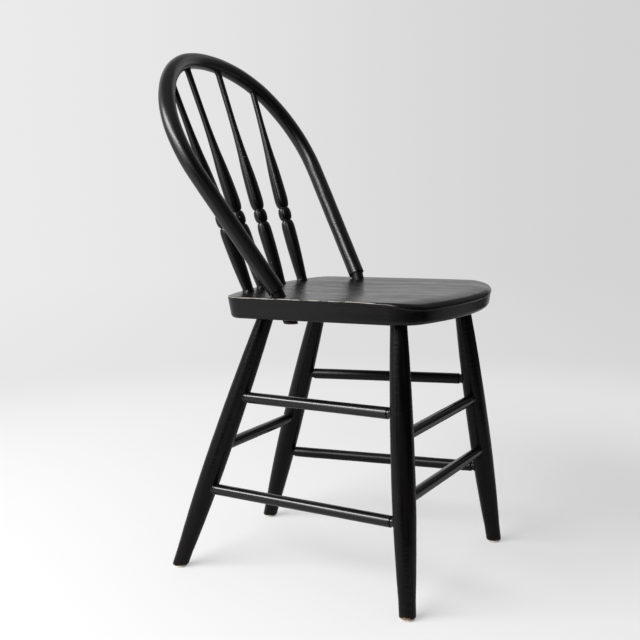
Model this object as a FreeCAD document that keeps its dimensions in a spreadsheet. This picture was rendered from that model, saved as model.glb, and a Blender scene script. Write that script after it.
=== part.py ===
"""Bow-back windsor chair with four turned spindles and seven stretchers.

Millimetres. +Z is up, the sitter faces -Y and the sitter's right is -X. The origin lies on the floor,
under the middle of the chair's bounding box.
"""
import FreeCAD, Part
import math
import os
import Sketcher

doc = FreeCAD.newDocument("windsor_chair")

# Driving dimensions in millimetres and degrees, shares without a unit
SIZES = {
    # Seat plank
    "seat_height": 445,  # seat top above the floor
    "seat_thickness": 33,  # seat plank thickness
    "seat_width_front": 324.5,  # seat width at the front
    "seat_width_rear": 319.5,  # seat width at the rear
    "seat_front_reach": 248.2,  # origin to the middle of the front edge
    "seat_rear_reach": 120.3,  # origin to the middle of the rear edge
    "seat_front_curve": 346,  # radius of the front edge
    "seat_rear_curve": 540,  # radius of the rear edge
    "seat_front_corner": 52,  # radius of the front corners
    "seat_rear_corner": 30,  # radius of the rear corners
    "seat_back_slope": 0.3,  # slope of the whole seat, down to the back
    "seat_side_slope": 9,  # slope of the seat's sides, inwards going down
    "seat_lower_round": 5,  # rounding of the seat's lower edge
    # Rolled front edge and dished top
    "roll_width": 32,  # width of the rolled front edge
    "roll_drop": 6,  # drop of the rolled front edge
    "dish_depth": 4,  # depth of the dished top
    "dish_reach": 125,  # radius of the dished top
    "dish_inset": 152.5,  # rear edge to the middle of the dish
    # Where the legs stand
    "front_leg_side_inset": 38.6,  # front leg top in from the seat's side
    "front_leg_front_inset": 74.3,  # front leg top in from the front edge
    "front_leg_splay": 57.5,  # front foot outside its leg top
    "front_leg_rake": 34.2,  # front foot ahead of its leg top
    "rear_leg_side_inset": 71.4,  # rear leg top in from the seat's side
    "rear_leg_rear_inset": 55.5,  # rear leg top in from the rear edge
    "rear_leg_splay": 53.5,  # rear foot outside its leg top
    "rear_leg_rake": 146.4,  # rear foot behind its leg top
    # Leg turning
    "leg_foot_diameter": 24.1,  # leg diameter at the foot
    "leg_ankle_diameter": 25.1,  # leg diameter at the ankle
    "leg_swell_diameter": 34.7,  # leg diameter at the swell
    "leg_tenon_diameter": 24.9,  # leg diameter in the seat socket
    "leg_ankle_height": 28,  # ankle above the floor, along the leg
    "leg_swell_height": 200,  # swell above the floor, along the leg
    "leg_neck_length": 7,  # taper ends this far under the seat
    "leg_tenon_length": 21,  # depth of the leg in the seat, along the leg
    # Stretchers
    "stretcher_diameter": 17.4,  # stretcher diameter
    "stretcher_tenon_diameter": 14.5,  # stretcher tenon diameter
    "stretcher_neck": 3.4,  # stretcher tenon showing outside the leg
    "stretcher_end_gap": 3,  # stretcher tenon end to the leg's middle
    "stretcher_bevel": 1,  # bevel at a stretcher's shoulders
    # Heights of the stretchers above the floor
    "side_upper_front_height": 284.7,  # upper side stretcher height at the front leg
    "side_upper_rear_height": 280.2,  # upper side stretcher height at the rear leg
    "side_lower_front_height": 132.2,  # lower side stretcher height at the front leg
    "side_lower_rear_height": 131.4,  # lower side stretcher height at the rear leg
    "front_upper_height": 253,  # upper front stretcher height
    "front_lower_height": 163.9,  # lower front stretcher height
    "rear_height": 198.4,  # rear stretcher height
    # Bow
    "bow_diameter": 26,  # bow diameter
    "bow_side_inset": 27.8,  # bow foot in from the seat's side
    "bow_rear_inset": 105.6,  # bow foot ahead of the rear edge
    "bow_lean": 31,  # lean of the bow back from upright
    "bow_splay": 13.15,  # spread of the bow's sides from its middle line
    "bow_side_length": 217,  # straight length of the bow's sides
    "bow_shoulder_radius": 168,  # radius of the bow's shoulders
    "bow_crown_angle": 50,  # from the top of the bow to the end of its crown arc
    "bow_end_rise": 9,  # bow's end above the seat, along the bow
    "bow_tenon_diameter": 20,  # bow tenon diameter
    "bow_tenon_lean": 19.5,  # lean of the bow tenon back from upright
    "bow_tenon_splay": 12,  # splay of the bow tenon out from upright
    "bow_tenon_root": 8,  # bow tenon run inside the bow
    "bow_tenon_reach": 6.5,  # bow tenon showing under the seat
    # Spindles
    "inner_foot_offset": 28.9,  # inner spindle foot from the middle
    "outer_foot_offset": 85.8,  # outer spindle foot from the middle
    "inner_foot_inset": 12.3,  # inner spindle foot in from the rear edge
    "outer_foot_inset": 21.2,  # outer spindle foot in from the rear edge
    "inner_top_offset": 45.1,  # inner spindle top from the middle
    "outer_top_offset": 118.1,  # outer spindle top from the middle
    "spindle_foot_diameter": 17,  # spindle diameter in the seat
    "spindle_vase_diameter": 22.6,  # spindle diameter at the lower swell
    "spindle_neck_diameter": 15,  # spindle neck diameter
    "spindle_ball_diameter": 21.6,  # spindle ball diameter
    "spindle_swell_diameter": 22.6,  # spindle diameter at the upper swell
    "spindle_top_diameter": 10,  # spindle top diameter
    "spindle_vase_height": 88,  # lower swell above the seat
    "spindle_lower_neck": 106,  # lower neck above the seat
    "spindle_upper_neck": 128,  # upper neck above the seat
    "spindle_swell_height": 146,  # upper swell above the seat
    "spindle_taper_end": 315,  # end of the upper taper above the seat
    "spindle_bulge_share": 0.45,  # share of the upper taper that bulges
    "spindle_bulge_left": 0.42,  # share of the narrowing left at its end
    "spindle_bulge_curve": 1000,  # radius of the bulging part's outline
    "spindle_hollow_curve": 1350,  # radius of the hollow part's outline
    "spindle_neck_length": 1.5,  # length of each neck
    "spindle_foot_rise": 5,  # straight part of the spindle above the seat
    "spindle_foot_depth": 18,  # depth of the spindle in the seat
    "spindle_top_gap": 1,  # spindle's top end to the bow's middle
    # Glides and nails
    "glide_diameter": 21,  # glide diameter
    "glide_thickness": 3.2,  # glide thickness
    "glide_bevel": 0.8,  # bevel round the glide
    "glide_recess_diameter": 7.5,  # recess in the glide for the nail's head
    "glide_recess_depth": 1.6,  # depth of that recess
    "nail_head_diameter": 6,  # nail head diameter
    "nail_head_thickness": 1,  # nail head thickness
    "nail_shank_diameter": 2,  # nail shank diameter
    "nail_shank_length": 16,  # nail shank length
    # Sockets
    "socket_fit": 0.1,  # clearance all round in a socket
    "socket_end_room": 0.8,  # room left at the bottom of a blind socket
}

sheet = doc.addObject("Spreadsheet::Sheet", "Sizes")
for row, (alias, size) in enumerate(SIZES.items(), start=1):
    sheet.set("A%d" % row, alias.replace("_", " "))
    sheet.set("B%d" % row, str(size))
    sheet.setAlias("B%d" % row, alias)
doc.recompute()


# Expressions: sizes are written as formulas over the sheet's aliases
def bound(formula):
    """The formula with each alias pointed at the sheet, ready for setExpression."""
    words = []
    word = ""
    for letter in formula + " ":
        if letter.isalnum() or letter == "_":
            word += letter
            continue
        words.append("Sizes." + word if word in SIZES else word)
        words.append(letter)
        word = ""
    return "".join(words).strip()


def number(formula):
    """The formula's present value."""
    result = sheet.evalExpression(bound(formula))
    return float(getattr(result, "Value", result))


def minus(a, b):
    return "((%s) - (%s))" % (a, b)


def along(start, end, share):
    """The point that lies a share of the way from start to end."""
    return tuple("((%s) + ((%s) - (%s)) * (%s))" % (a, b, a, share) for a, b in zip(start, end))


def span(start, end):
    """The distance between two points."""
    return "sqrt(%s)" % " + ".join("(%s)^2" % minus(b, a) for a, b in zip(start, end))


def axis_placement(start, end):
    """A placement at start whose own Z axis points at end."""
    dx, dy, dz = (minus(b, a) for a, b in zip(start, end))
    turn = "rotation(vector(-1 * %s; %s; 0); atan2(hypot(%s; %s); %s))" % (dy, dx, dx, dy, dz)
    return bound("placement(vector(%s; %s; %s); %s)" % (start + (turn,)))


# Sketches and bodies
def origin_feature(body, role):
    return next(item for item in body.Origin.OriginFeatures if item.Role == role)


def new_sketch(body, name, plane):
    sketch = body.newObject("Sketcher::SketchObject", name)
    sketch.AttachmentSupport = [(origin_feature(body, plane), "")]
    sketch.MapMode = "FlatFace"
    return sketch


def constrain(sketch, kind, *args):
    """Add a constraint; a formula as its last argument is bound to the sheet."""
    if isinstance(args[-1], str):
        index = sketch.addConstraint(Sketcher.Constraint(kind, *args[:-1], number(args[-1])))
        sketch.setExpression("Constraints[%d]" % index, bound(args[-1]))
        return index
    return sketch.addConstraint(Sketcher.Constraint(kind, *args))


def point(x, y):
    return FreeCAD.Vector(number(x), number(y), 0)


def arc_through(start, end, radius, side):
    """The short arc from start to end, which always runs anticlockwise.

    With side +1 its middle is on the right of the way there; with side -1 it starts at the end.
    """
    chord = end - start
    across = FreeCAD.Vector(chord.y, -chord.x, 0).normalize() * side
    centre = (start + end) / 2 - across * math.sqrt(radius ** 2 - (chord.Length / 2) ** 2)
    angles = [math.atan2(spot.y - centre.y, spot.x - centre.x) for spot in (start, end)]
    if side < 0:
        angles.reverse()
    if angles[1] < angles[0]:
        angles[1] += 2 * math.pi
    circle = Part.Circle(centre, FreeCAD.Vector(0, 0, 1), radius)
    return Part.ArcOfCircle(circle, angles[0], angles[1])


def closed_outline(sketch, corners):
    """Draw a closed outline. A corner is (x, y) and, for an arc to the next one, a radius and side."""
    spots = [point(corner[0], corner[1]) for corner in corners]
    ends = []
    for start, end, corner in zip(spots, spots[1:] + spots[:1], corners):
        if len(corner) == 2:
            index = sketch.addGeometry(Part.LineSegment(start, end), False)
            ends.append((index, 1, 2))
            continue
        index = sketch.addGeometry(arc_through(start, end, number(corner[2]), corner[3]), False)
        ends.append((index, 1, 2) if corner[3] > 0 else (index, 2, 1))
    for here, following in zip(ends, ends[1:] + ends[:1]):
        constrain(sketch, "Coincident", here[0], here[2], following[0], following[1])
    for (index, first, _), corner in zip(ends, corners):
        if corner[0] == "0":
            constrain(sketch, "PointOnObject", index, first, -2)
        else:
            constrain(sketch, "DistanceX", -1, 1, index, first, corner[0])
        if corner[1] == "0":
            constrain(sketch, "PointOnObject", index, first, -1)
        else:
            constrain(sketch, "DistanceY", -1, 1, index, first, corner[1])
        if len(corner) == 4:
            constrain(sketch, "Radius", index, corner[2])


def turned_body(label, corners, start=None, end=None):
    """A body of revolution: corners are (radius, height) along its own axis."""
    body = doc.addObject("PartDesign::Body", label)
    sketch = new_sketch(body, label + "_profile", "XZ_Plane")
    closed_outline(sketch, corners)
    turning = body.newObject("PartDesign::Revolution", label + "_turning")
    turning.Profile = sketch
    turning.ReferenceAxis = (sketch, ["V_Axis"])
    turning.Angle = 360
    sketch.Visibility = False
    if end is not None:
        body.setExpression("Placement", axis_placement(start, end))
    elif start is not None:
        body.setExpression("Placement", bound("placement(vector(%s; %s; %s); rotation(0; 0; 0))" % start))
    return body


def rod(label, diameter, start, end, extra_start="0", extra_end="0"):
    """A plain cylinder from start to end, longer by the extras; used for tenons and sockets."""
    length = span(start, end)
    cylinder = doc.addObject("Part::Cylinder", label)
    cylinder.setExpression("Radius", bound("(%s) / 2" % diameter))
    cylinder.setExpression("Height", bound("%s + %s + %s" % (length, extra_start, extra_end)))
    first = along(start, end, "-1 * (%s) / %s" % (extra_start, length))
    cylinder.setExpression("Placement", axis_placement(first, end))
    return cylinder


def joined(label, pieces):
    fuse = doc.addObject("Part::MultiFuse", label)
    fuse.Shapes = pieces
    return fuse


def cut_away(label, solid, tools):
    cut = doc.addObject("Part::Cut", label)
    cut.Base = solid
    cut.Tool = tools[0] if len(tools) == 1 else joined(label + "_sockets", tools)
    return cut


nodes = {}


def keep(name, shape_object):
    """Name a finished sub-part; its Label is its node and its file."""
    shape_object.Label = name
    nodes[name] = shape_object


SIDES = {"right": "-1", "left": "1"}
UNDERSIDE = "(seat_height - seat_thickness)"
SOCKET = "%s + 2 * socket_fit"


# Where the legs stand: each leg is a straight line from the floor to the seat's underside
def leg_line(end, side):
    sign = SIDES[side]
    if end == "front":
        top_x = "(seat_width_front / 2 - front_leg_side_inset)"
        top_y = "(front_leg_front_inset - seat_front_reach)"
        foot_y = "(%s - front_leg_rake)" % top_y
    else:
        top_x = "(seat_width_rear / 2 - rear_leg_side_inset)"
        top_y = "(seat_rear_reach - rear_leg_rear_inset)"
        foot_y = "(%s + rear_leg_rake)" % top_y
    foot = ("%s * (%s + %s_leg_splay)" % (sign, top_x, end), foot_y, "0")
    top = ("%s * %s" % (sign, top_x), top_y, UNDERSIDE)
    return foot, top


def leg_point(end, side, height):
    foot, top = leg_line(end, side)
    return along(foot, top, "(%s) / %s" % (height, UNDERSIDE))


# Stretchers: dowels with a tenon turned at each end, held in blind sockets in the legs
STRETCHERS = {
    "stretcher_front_upper": (("front", "right", "front_upper_height"),
                              ("front", "left", "front_upper_height")),
    "stretcher_front_lower": (("front", "right", "front_lower_height"),
                              ("front", "left", "front_lower_height")),
    "stretcher_rear": (("rear", "right", "rear_height"), ("rear", "left", "rear_height")),
}
for hand in SIDES:
    for level in ("upper", "lower"):
        STRETCHERS["stretcher_side_%s_%s" % (level, hand)] = (
            ("front", hand, "side_%s_front_height" % level),
            ("rear", hand, "side_%s_rear_height" % level))

leg_sockets = {(end, hand): [] for end in ("front", "rear") for hand in SIDES}

for name, (first, second) in STRETCHERS.items():
    start = leg_point(*first)
    end = leg_point(*second)
    length = span(start, end)
    shoulder = "(leg_swell_diameter / 2 + stretcher_neck)"
    thick = "stretcher_diameter / 2"
    thin = "stretcher_tenon_diameter / 2"
    profile = [
        ("0", "stretcher_end_gap"),
        (thin, "stretcher_end_gap"),
        (thin, shoulder),
        ("%s - stretcher_bevel" % thick, shoulder),
        (thick, "%s + stretcher_bevel" % shoulder),
        (thick, "%s - %s - stretcher_bevel" % (length, shoulder)),
        ("%s - stretcher_bevel" % thick, "%s - %s" % (length, shoulder)),
        (thin, "%s - %s" % (length, shoulder)),
        (thin, "%s - stretcher_end_gap" % length),
        ("0", "%s - stretcher_end_gap" % length),
    ]
    keep(name, turned_body(name + "_dowel", profile, start, end))
    for (leg_end, hand, _), here, there in ((first, start, end), (second, end, start)):
        tip = along(here, there, "(stretcher_end_gap - socket_end_room) / %s" % length)
        mouth = along(here, there, "%s / %s" % (shoulder, length))
        bore_name = "%s_bore_%s_%s" % (name, leg_end, hand)
        bore = rod(bore_name, SOCKET % "stretcher_tenon_diameter", tip, mouth)
        leg_sockets[(leg_end, hand)].append(bore)


# Feet: a nylon glide under each level-cut foot, held by one nail
def foot_middle(end, side, height):
    x, y, _ = leg_point(end, side, "glide_thickness")
    return x, y, height


nails = []
for (end, hand), bores in leg_sockets.items():
    name = "glide_%s_%s" % (end, hand)
    edge = "glide_diameter / 2"
    hole = "nail_shank_diameter / 2 + socket_fit"
    recess = "glide_recess_diameter / 2"
    profile = [
        (recess, "0"),
        ("%s - glide_bevel" % edge, "0"),
        (edge, "glide_bevel"),
        (edge, "glide_thickness"),
        (hole, "glide_thickness"),
        (hole, "glide_recess_depth"),
        (recess, "glide_recess_depth"),
    ]
    keep(name, turned_body(name + "_disc", profile, foot_middle(end, hand, "0")))

    seat_of_head = "(glide_recess_depth - nail_head_thickness)"
    shank = "nail_shank_diameter / 2"
    tip_height = "(%s + nail_head_thickness + nail_shank_length)" % seat_of_head
    profile = [
        ("0", seat_of_head),
        ("nail_head_diameter / 2", seat_of_head),
        ("nail_head_diameter / 2", "glide_recess_depth"),
        (shank, "glide_recess_depth"),
        (shank, "%s - 2 * nail_shank_diameter" % tip_height),
        ("0", tip_height),
    ]
    nails.append(turned_body("nail_%s_%s" % (end, hand), profile, foot_middle(end, hand, "0")))
    bores.append(rod("nail_bore_%s_%s" % (end, hand), SOCKET % "nail_shank_diameter",
                     foot_middle(end, hand, "0"), foot_middle(end, hand, tip_height)))

nail_group = doc.addObject("Part::Compound", "glide_nails")
nail_group.Links = nails
keep("glide_nails", nail_group)


# Legs: turned with one long swell, cut level above the glide and bored for the stretchers
for (end, hand), bores in leg_sockets.items():
    name = "leg_%s_%s" % (end, hand)
    foot, top = leg_line(end, hand)
    length = span(foot, top)
    ankle = "leg_ankle_diameter / 2"
    swell = "leg_swell_diameter / 2"
    tenon = "leg_tenon_diameter / 2"
    neck = "(%s - leg_neck_length)" % length
    lower_rise = "(leg_swell_height - leg_ankle_height)"
    lower_step = "((leg_swell_diameter - leg_ankle_diameter) / 2)"
    upper_rise = "(%s - leg_swell_height)" % neck
    upper_step = "((leg_swell_diameter - leg_tenon_diameter) / 2)"
    profile = [
        ("0", "-1 * leg_foot_diameter / 2"),
        ("leg_foot_diameter / 2", "-1 * leg_foot_diameter / 2"),
        (ankle, "leg_ankle_height",
         "({r}^2 + {s}^2) / (2 * {s})".format(r=lower_rise, s=lower_step), 1),
        (swell, "leg_swell_height",
         "({r}^2 + {s}^2) / (2 * {s})".format(r=upper_rise, s=upper_step), 1),
        (tenon, neck),
        (tenon, "%s + leg_tenon_length" % length),
        ("0", "%s + leg_tenon_length" % length),
    ]
    turning = turned_body(name + "_turning", profile, foot, top)
    ground = doc.addObject("Part::Box", name + "_level_cut")
    middle = foot_middle(end, hand, "glide_thickness")
    for side_length in ("Length", "Width", "Height"):
        ground.setExpression(side_length, bound("4 * leg_foot_diameter"))
    ground.setExpression("Placement", bound(
        "placement(vector({0} - 2 * leg_foot_diameter; {1} - 2 * leg_foot_diameter;"
        " {2} - 4 * leg_foot_diameter); rotation(0; 0; 0))".format(*middle)))
    keep(name, cut_away(name + "_cut", turning, [ground] + bores))


# Bow: a round rod bent in one leaning plane. Its height there is measured from the seat's top
BOW_FOOT_X = "(seat_width_rear / 2 - bow_side_inset)"
BOW_FOOT_Y = "(seat_rear_reach - bow_rear_inset)"
SIDE_TOP_X = "(%s + bow_side_length * sin(bow_splay))" % BOW_FOOT_X
SIDE_TOP_H = "(bow_side_length * cos(bow_splay))"
SHOULDER_X = "(%s - bow_shoulder_radius * cos(bow_splay))" % SIDE_TOP_X
SHOULDER_H = "(%s + bow_shoulder_radius * sin(bow_splay))" % SIDE_TOP_H
CROWN_RADIUS = "(bow_shoulder_radius + %s / sin(bow_crown_angle))" % SHOULDER_X
CROWN_H = "(%s - %s / tan(bow_crown_angle))" % (SHOULDER_H, SHOULDER_X)
APEX_H = "(%s + %s)" % (CROWN_H, CROWN_RADIUS)
JOIN_X = "(%s * sin(bow_crown_angle))" % CROWN_RADIUS
JOIN_H = "(%s + %s * cos(bow_crown_angle))" % (CROWN_H, CROWN_RADIUS)
END_X = "(%s + bow_end_rise * sin(bow_splay))" % BOW_FOOT_X
END_H = "(bow_end_rise * cos(bow_splay))"


def on_bow(side, x, height):
    """The place in the chair of a point of the bow's plane."""
    return ("%s * (%s)" % (SIDES[side], x), "(%s + %s * sin(bow_lean))" % (BOW_FOOT_Y, height),
            "(seat_height + %s * cos(bow_lean))" % height)


hoop = doc.addObject("PartDesign::Body", "bow_hoop")
route = new_sketch(hoop, "bow_route", "XZ_Plane")
apex = point("0", APEX_H)
join = point(JOIN_X, JOIN_H)
side_top = point(SIDE_TOP_X, SIDE_TOP_H)
bow_end = point(END_X, END_H)
crown = route.addGeometry(arc_through(join, apex, number(CROWN_RADIUS), 1), False)
shoulder = route.addGeometry(arc_through(side_top, join, number("bow_shoulder_radius"), 1), False)
side_rod = route.addGeometry(Part.LineSegment(bow_end, side_top), False)
constrain(route, "Tangent", crown, 1, shoulder, 2)
constrain(route, "Tangent", shoulder, 1, side_rod, 2)
constrain(route, "PointOnObject", crown, 3, -2)
constrain(route, "PointOnObject", crown, 2, -2)
constrain(route, "Radius", crown, CROWN_RADIUS)
constrain(route, "Radius", shoulder, "bow_shoulder_radius")
constrain(route, "DistanceX", -1, 1, side_rod, 1, END_X)
constrain(route, "DistanceY", -1, 1, side_rod, 1, END_H)
constrain(route, "DistanceX", -1, 1, side_rod, 2, SIDE_TOP_X)
constrain(route, "DistanceY", -1, 1, side_rod, 2, SIDE_TOP_H)
section = new_sketch(hoop, "bow_section", "YZ_Plane")
ring = section.addGeometry(
    Part.Circle(apex, FreeCAD.Vector(0, 0, 1), number("bow_diameter / 2")), False)
constrain(section, "PointOnObject", ring, 3, -2)
constrain(section, "DistanceY", -1, 1, ring, 3, APEX_H)
constrain(section, "Diameter", ring, "bow_diameter")
half_hoop = hoop.newObject("PartDesign::AdditivePipe", "bow_half")
half_hoop.Profile = section
half_hoop.Spine = (route, ["Edge%d" % (index + 1) for index in range(3)])
doc.recompute()
other_half = hoop.newObject("PartDesign::Mirrored", "bow_other_half")
other_half.Originals = [half_hoop]
other_half.MirrorPlane = (origin_feature(hoop, "YZ_Plane"), [""])
hoop.Tip = other_half
hoop.setExpression("Placement", bound(
    "placement(vector(0; %s; seat_height); rotation(vector(1; 0; 0); -1 * bow_lean))" % BOW_FOOT_Y))


# The bow's tenons stand a little more upright than the bow and run right through the seat
def tenon_line(side):
    end = on_bow(side, END_X, END_H)
    rise = "(%s + bow_tenon_root)" % end[2]
    fall = "(%s - bow_tenon_reach)" % UNDERSIDE

    def at(height):
        step = minus(height, end[2])
        return ("(%s + %s * %s * tan(bow_tenon_splay))" % (end[0], SIDES[side], step),
                "(%s + %s * tan(bow_tenon_lean))" % (end[1], step), height)
    return at(rise), at(fall)


bow_pieces = [hoop]
seat_bores = []
for hand in SIDES:
    high, low = tenon_line(hand)
    bow_pieces.append(rod("bow_tenon_" + hand, "bow_tenon_diameter", high, low))
    seat_bores.append(rod("bow_bore_" + hand, SOCKET % "bow_tenon_diameter", high, low,
                          extra_end="bow_tenon_diameter"))


# Spindles: vase, ball and long taper, in blind sockets in the seat and the bow
def spindle_line(kind, side):
    foot = ("%s * %s_foot_offset" % (SIDES[side], kind), "(seat_rear_reach - %s_foot_inset)" % kind,
            "seat_height")
    if kind == "inner":
        height = "(%s + sqrt(%s^2 - inner_top_offset^2))" % (CROWN_H, CROWN_RADIUS)
    else:
        height = "(%s + sqrt(bow_shoulder_radius^2 - (outer_top_offset - %s)^2))" % (
            SHOULDER_H, SHOULDER_X)
    return foot, on_bow(side, kind + "_top_offset", height)


def tangent_radius(rise, step):
    """The radius of an arc that leaves a swell square to the radius and gains step over rise."""
    return "((%s)^2 + (%s)^2) / (2 * (%s))" % (rise, step, step)


bow_bores = []
for kind in ("outer", "inner"):
    for hand in SIDES:
        name = "spindle_%s_%s" % (kind, hand)
        foot, top = spindle_line(kind, hand)
        length = span(foot, top)
        neck = "spindle_neck_diameter / 2"
        low_half = "(spindle_neck_length / 2)"
        ball_low = "(spindle_lower_neck + %s)" % low_half
        ball_high = "(spindle_upper_neck - %s)" % low_half
        ball_middle = "((%s + %s) / 2)" % (ball_low, ball_high)
        vase_step = "((spindle_vase_diameter - spindle_foot_diameter) / 2)"
        round_step = "((spindle_vase_diameter - spindle_neck_diameter) / 2)"
        ball_step = "((spindle_ball_diameter - spindle_neck_diameter) / 2)"
        swell_step = "((spindle_swell_diameter - spindle_neck_diameter) / 2)"
        vase_rise = "(spindle_lower_neck - %s - spindle_vase_height)" % low_half
        swell_rise = "(spindle_swell_height - spindle_upper_neck - %s)" % low_half
        taper = "(spindle_taper_end - spindle_swell_height)"
        bulge_end = "(spindle_swell_height + %s * spindle_bulge_share)" % taper
        narrowing = "(spindle_swell_diameter - spindle_top_diameter)"
        bulge_radius = "(spindle_top_diameter + %s * spindle_bulge_left) / 2" % narrowing
        shaft_end = "(%s - spindle_top_gap)" % length
        profile = [
            ("0", "-1 * spindle_foot_depth"),
            ("spindle_foot_diameter / 2", "-1 * spindle_foot_depth"),
            ("spindle_foot_diameter / 2", "spindle_foot_rise",
             tangent_radius("spindle_vase_height - spindle_foot_rise", vase_step), 1),
            ("spindle_vase_diameter / 2", "spindle_vase_height",
             tangent_radius(vase_rise, round_step), 1),
            (neck, "spindle_lower_neck - %s" % low_half),
            (neck, ball_low, tangent_radius("(%s - %s)" % (ball_middle, ball_low), ball_step), 1),
            ("spindle_ball_diameter / 2", ball_middle,
             tangent_radius("(%s - %s)" % (ball_high, ball_middle), ball_step), 1),
            (neck, ball_high),
            (neck, "spindle_upper_neck + %s" % low_half, tangent_radius(swell_rise, swell_step), 1),
            ("spindle_swell_diameter / 2", "spindle_swell_height", "spindle_bulge_curve", 1),
            (bulge_radius, bulge_end, "spindle_hollow_curve", -1),
            ("spindle_top_diameter / 2", "spindle_taper_end"),
            ("spindle_top_diameter / 2", shaft_end),
            ("0", shaft_end),
        ]
        keep(name, turned_body(name + "_turning", profile, foot, top))
        entry = along(foot, top, "1 - bow_diameter / %s" % length)
        stop = along(foot, top, "1 - (spindle_top_gap - socket_end_room) / %s" % length)
        bow_bores.append(rod(name + "_bow_bore", SOCKET % "spindle_top_diameter", entry, stop))
        floor = along(foot, top, "-1 * (spindle_foot_depth + socket_end_room) / %s" % length)
        seat_bores.append(rod(name + "_seat_bore", SOCKET % "spindle_foot_diameter", foot, floor,
                              extra_start="spindle_foot_diameter"))

keep("bow", cut_away("bow_cut", joined("bow_with_tenons", bow_pieces), bow_bores))


# Seat: a plank with a curved outline, sloping sides, a dished top and a rolled front edge
plank = doc.addObject("PartDesign::Body", "seat_plank")
plank.setExpression("Placement", bound(
    "placement(vector(0; 0; seat_height); rotation(vector(1; 0; 0); -1 * seat_back_slope))"))
FRONT_CENTRE_Y = "(seat_front_curve - seat_front_reach)"
REAR_CENTRE_Y = "(seat_rear_reach - seat_rear_curve)"
FRONT_CORNER_X = "(seat_width_front / 2 - seat_front_corner)"
REAR_CORNER_X = "(seat_width_rear / 2 - seat_rear_corner)"
FRONT_CORNER_Y = "(%s - sqrt((seat_front_curve - seat_front_corner)^2 - %s^2))" % (
    FRONT_CENTRE_Y, FRONT_CORNER_X)
REAR_CORNER_Y = "(%s + sqrt((seat_rear_curve - seat_rear_corner)^2 - %s^2))" % (
    REAR_CENTRE_Y, REAR_CORNER_X)


CORNER_RUN = minus(REAR_CORNER_Y, FRONT_CORNER_Y)
CORNER_SHIFT = minus(FRONT_CORNER_X, REAR_CORNER_X)
# Direction square to the seat's straight side, which touches both corner arcs
SIDE_TURN = "(atan2({shift}; {run}) + asin((seat_front_corner - seat_rear_corner) / {centres}))".format(
    shift=CORNER_SHIFT, run=CORNER_RUN, centres="sqrt(%s^2 + %s^2)" % (CORNER_RUN, CORNER_SHIFT))


def edge_meets_corner(end, centre_y, corner_x, corner_y):
    """Where the front or rear edge runs into the left corner's arc."""
    share = "(seat_{0}_curve / (seat_{0}_curve - seat_{0}_corner))".format(end)
    return ("(%s * %s)" % (corner_x, share),
            "(%s + %s * %s)" % (centre_y, minus(corner_y, centre_y), share))


def side_meets_corner(end, corner_x, corner_y):
    """Where the left side runs into the front or rear corner's arc."""
    return ("(%s + seat_%s_corner * cos(%s))" % (corner_x, end, SIDE_TURN),
            "(%s + seat_%s_corner * sin(%s))" % (corner_y, end, SIDE_TURN))


def other_side(spot):
    return "-1 * %s" % spot[0], spot[1]


front_left = edge_meets_corner("front", FRONT_CENTRE_Y, FRONT_CORNER_X, FRONT_CORNER_Y)
side_front = side_meets_corner("front", FRONT_CORNER_X, FRONT_CORNER_Y)
side_rear = side_meets_corner("rear", REAR_CORNER_X, REAR_CORNER_Y)
rear_left = edge_meets_corner("rear", REAR_CENTRE_Y, REAR_CORNER_X, REAR_CORNER_Y)
outline = new_sketch(plank, "seat_outline", "XY_Plane")
closed_outline(outline, [
    front_left + ("seat_front_corner", 1),
    side_front,
    side_rear + ("seat_rear_corner", 1),
    rear_left + ("seat_rear_curve", 1),
    other_side(rear_left) + ("seat_rear_corner", 1),
    other_side(side_rear),
    other_side(side_front) + ("seat_front_corner", 1),
    other_side(front_left) + ("seat_front_curve", 1),
])
slab = plank.newObject("PartDesign::Pad", "seat_slab")
slab.Profile = outline
slab.Reversed = True
slab.setExpression("Length", bound("seat_thickness"))
slab.setExpression("TaperAngle", bound("-1 * seat_side_slope"))
doc.recompute()
underside = -number("seat_thickness")
low_edges = ["Edge%d" % (index + 1) for index, edge in enumerate(slab.Shape.Edges)
             if all(math.isclose(vertex.Z, underside) for vertex in edge.Vertexes)]
easing = plank.newObject("PartDesign::Fillet", "seat_lower_easing")
easing.Base = (slab, low_edges)
easing.setExpression("Radius", bound("seat_lower_round"))


def turned_hollow(name, corners, centre_y):
    """A groove turned about an upright axis; corners are (y, z) on the chair's middle plane."""
    sketch = new_sketch(plank, name + "_profile", "YZ_Plane")
    closed_outline(sketch, corners)
    low, high = point(centre_y, "-1 * seat_thickness"), point(centre_y, "seat_thickness")
    upright = sketch.addGeometry(Part.LineSegment(low, high), True)
    constrain(sketch, "Vertical", upright)
    constrain(sketch, "DistanceX", -1, 1, upright, 1, centre_y)
    constrain(sketch, "DistanceY", -1, 1, upright, 1, "-1 * seat_thickness")
    constrain(sketch, "DistanceY", -1, 1, upright, 2, "seat_thickness")
    groove = plank.newObject("PartDesign::Groove", name)
    groove.Profile = sketch
    groove.ReferenceAxis = (sketch, ["Axis0"])
    groove.Angle = 360
    return groove


ROLL_RADIUS = "((roll_width^2 + roll_drop^2) / (2 * roll_drop))"
# The groove runs past the edge, so that it also clears the seat's corners
ROLL_REACH = "(roll_width * 1.4)"
ROLL_START = "(roll_width - seat_front_reach)"
ROLL_END = "(%s - %s)" % (ROLL_START, ROLL_REACH)
ROLL_DEPTH = "(%s - sqrt(%s^2 - %s^2))" % (ROLL_RADIUS, ROLL_RADIUS, ROLL_REACH)
turned_hollow("seat_front_roll", [
    (ROLL_START, "0", ROLL_RADIUS, 1),
    (ROLL_END, "-1 * %s" % ROLL_DEPTH),
    (ROLL_END, "seat_thickness / 2"),
    (ROLL_START, "seat_thickness / 2"),
], FRONT_CENTRE_Y)

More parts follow.
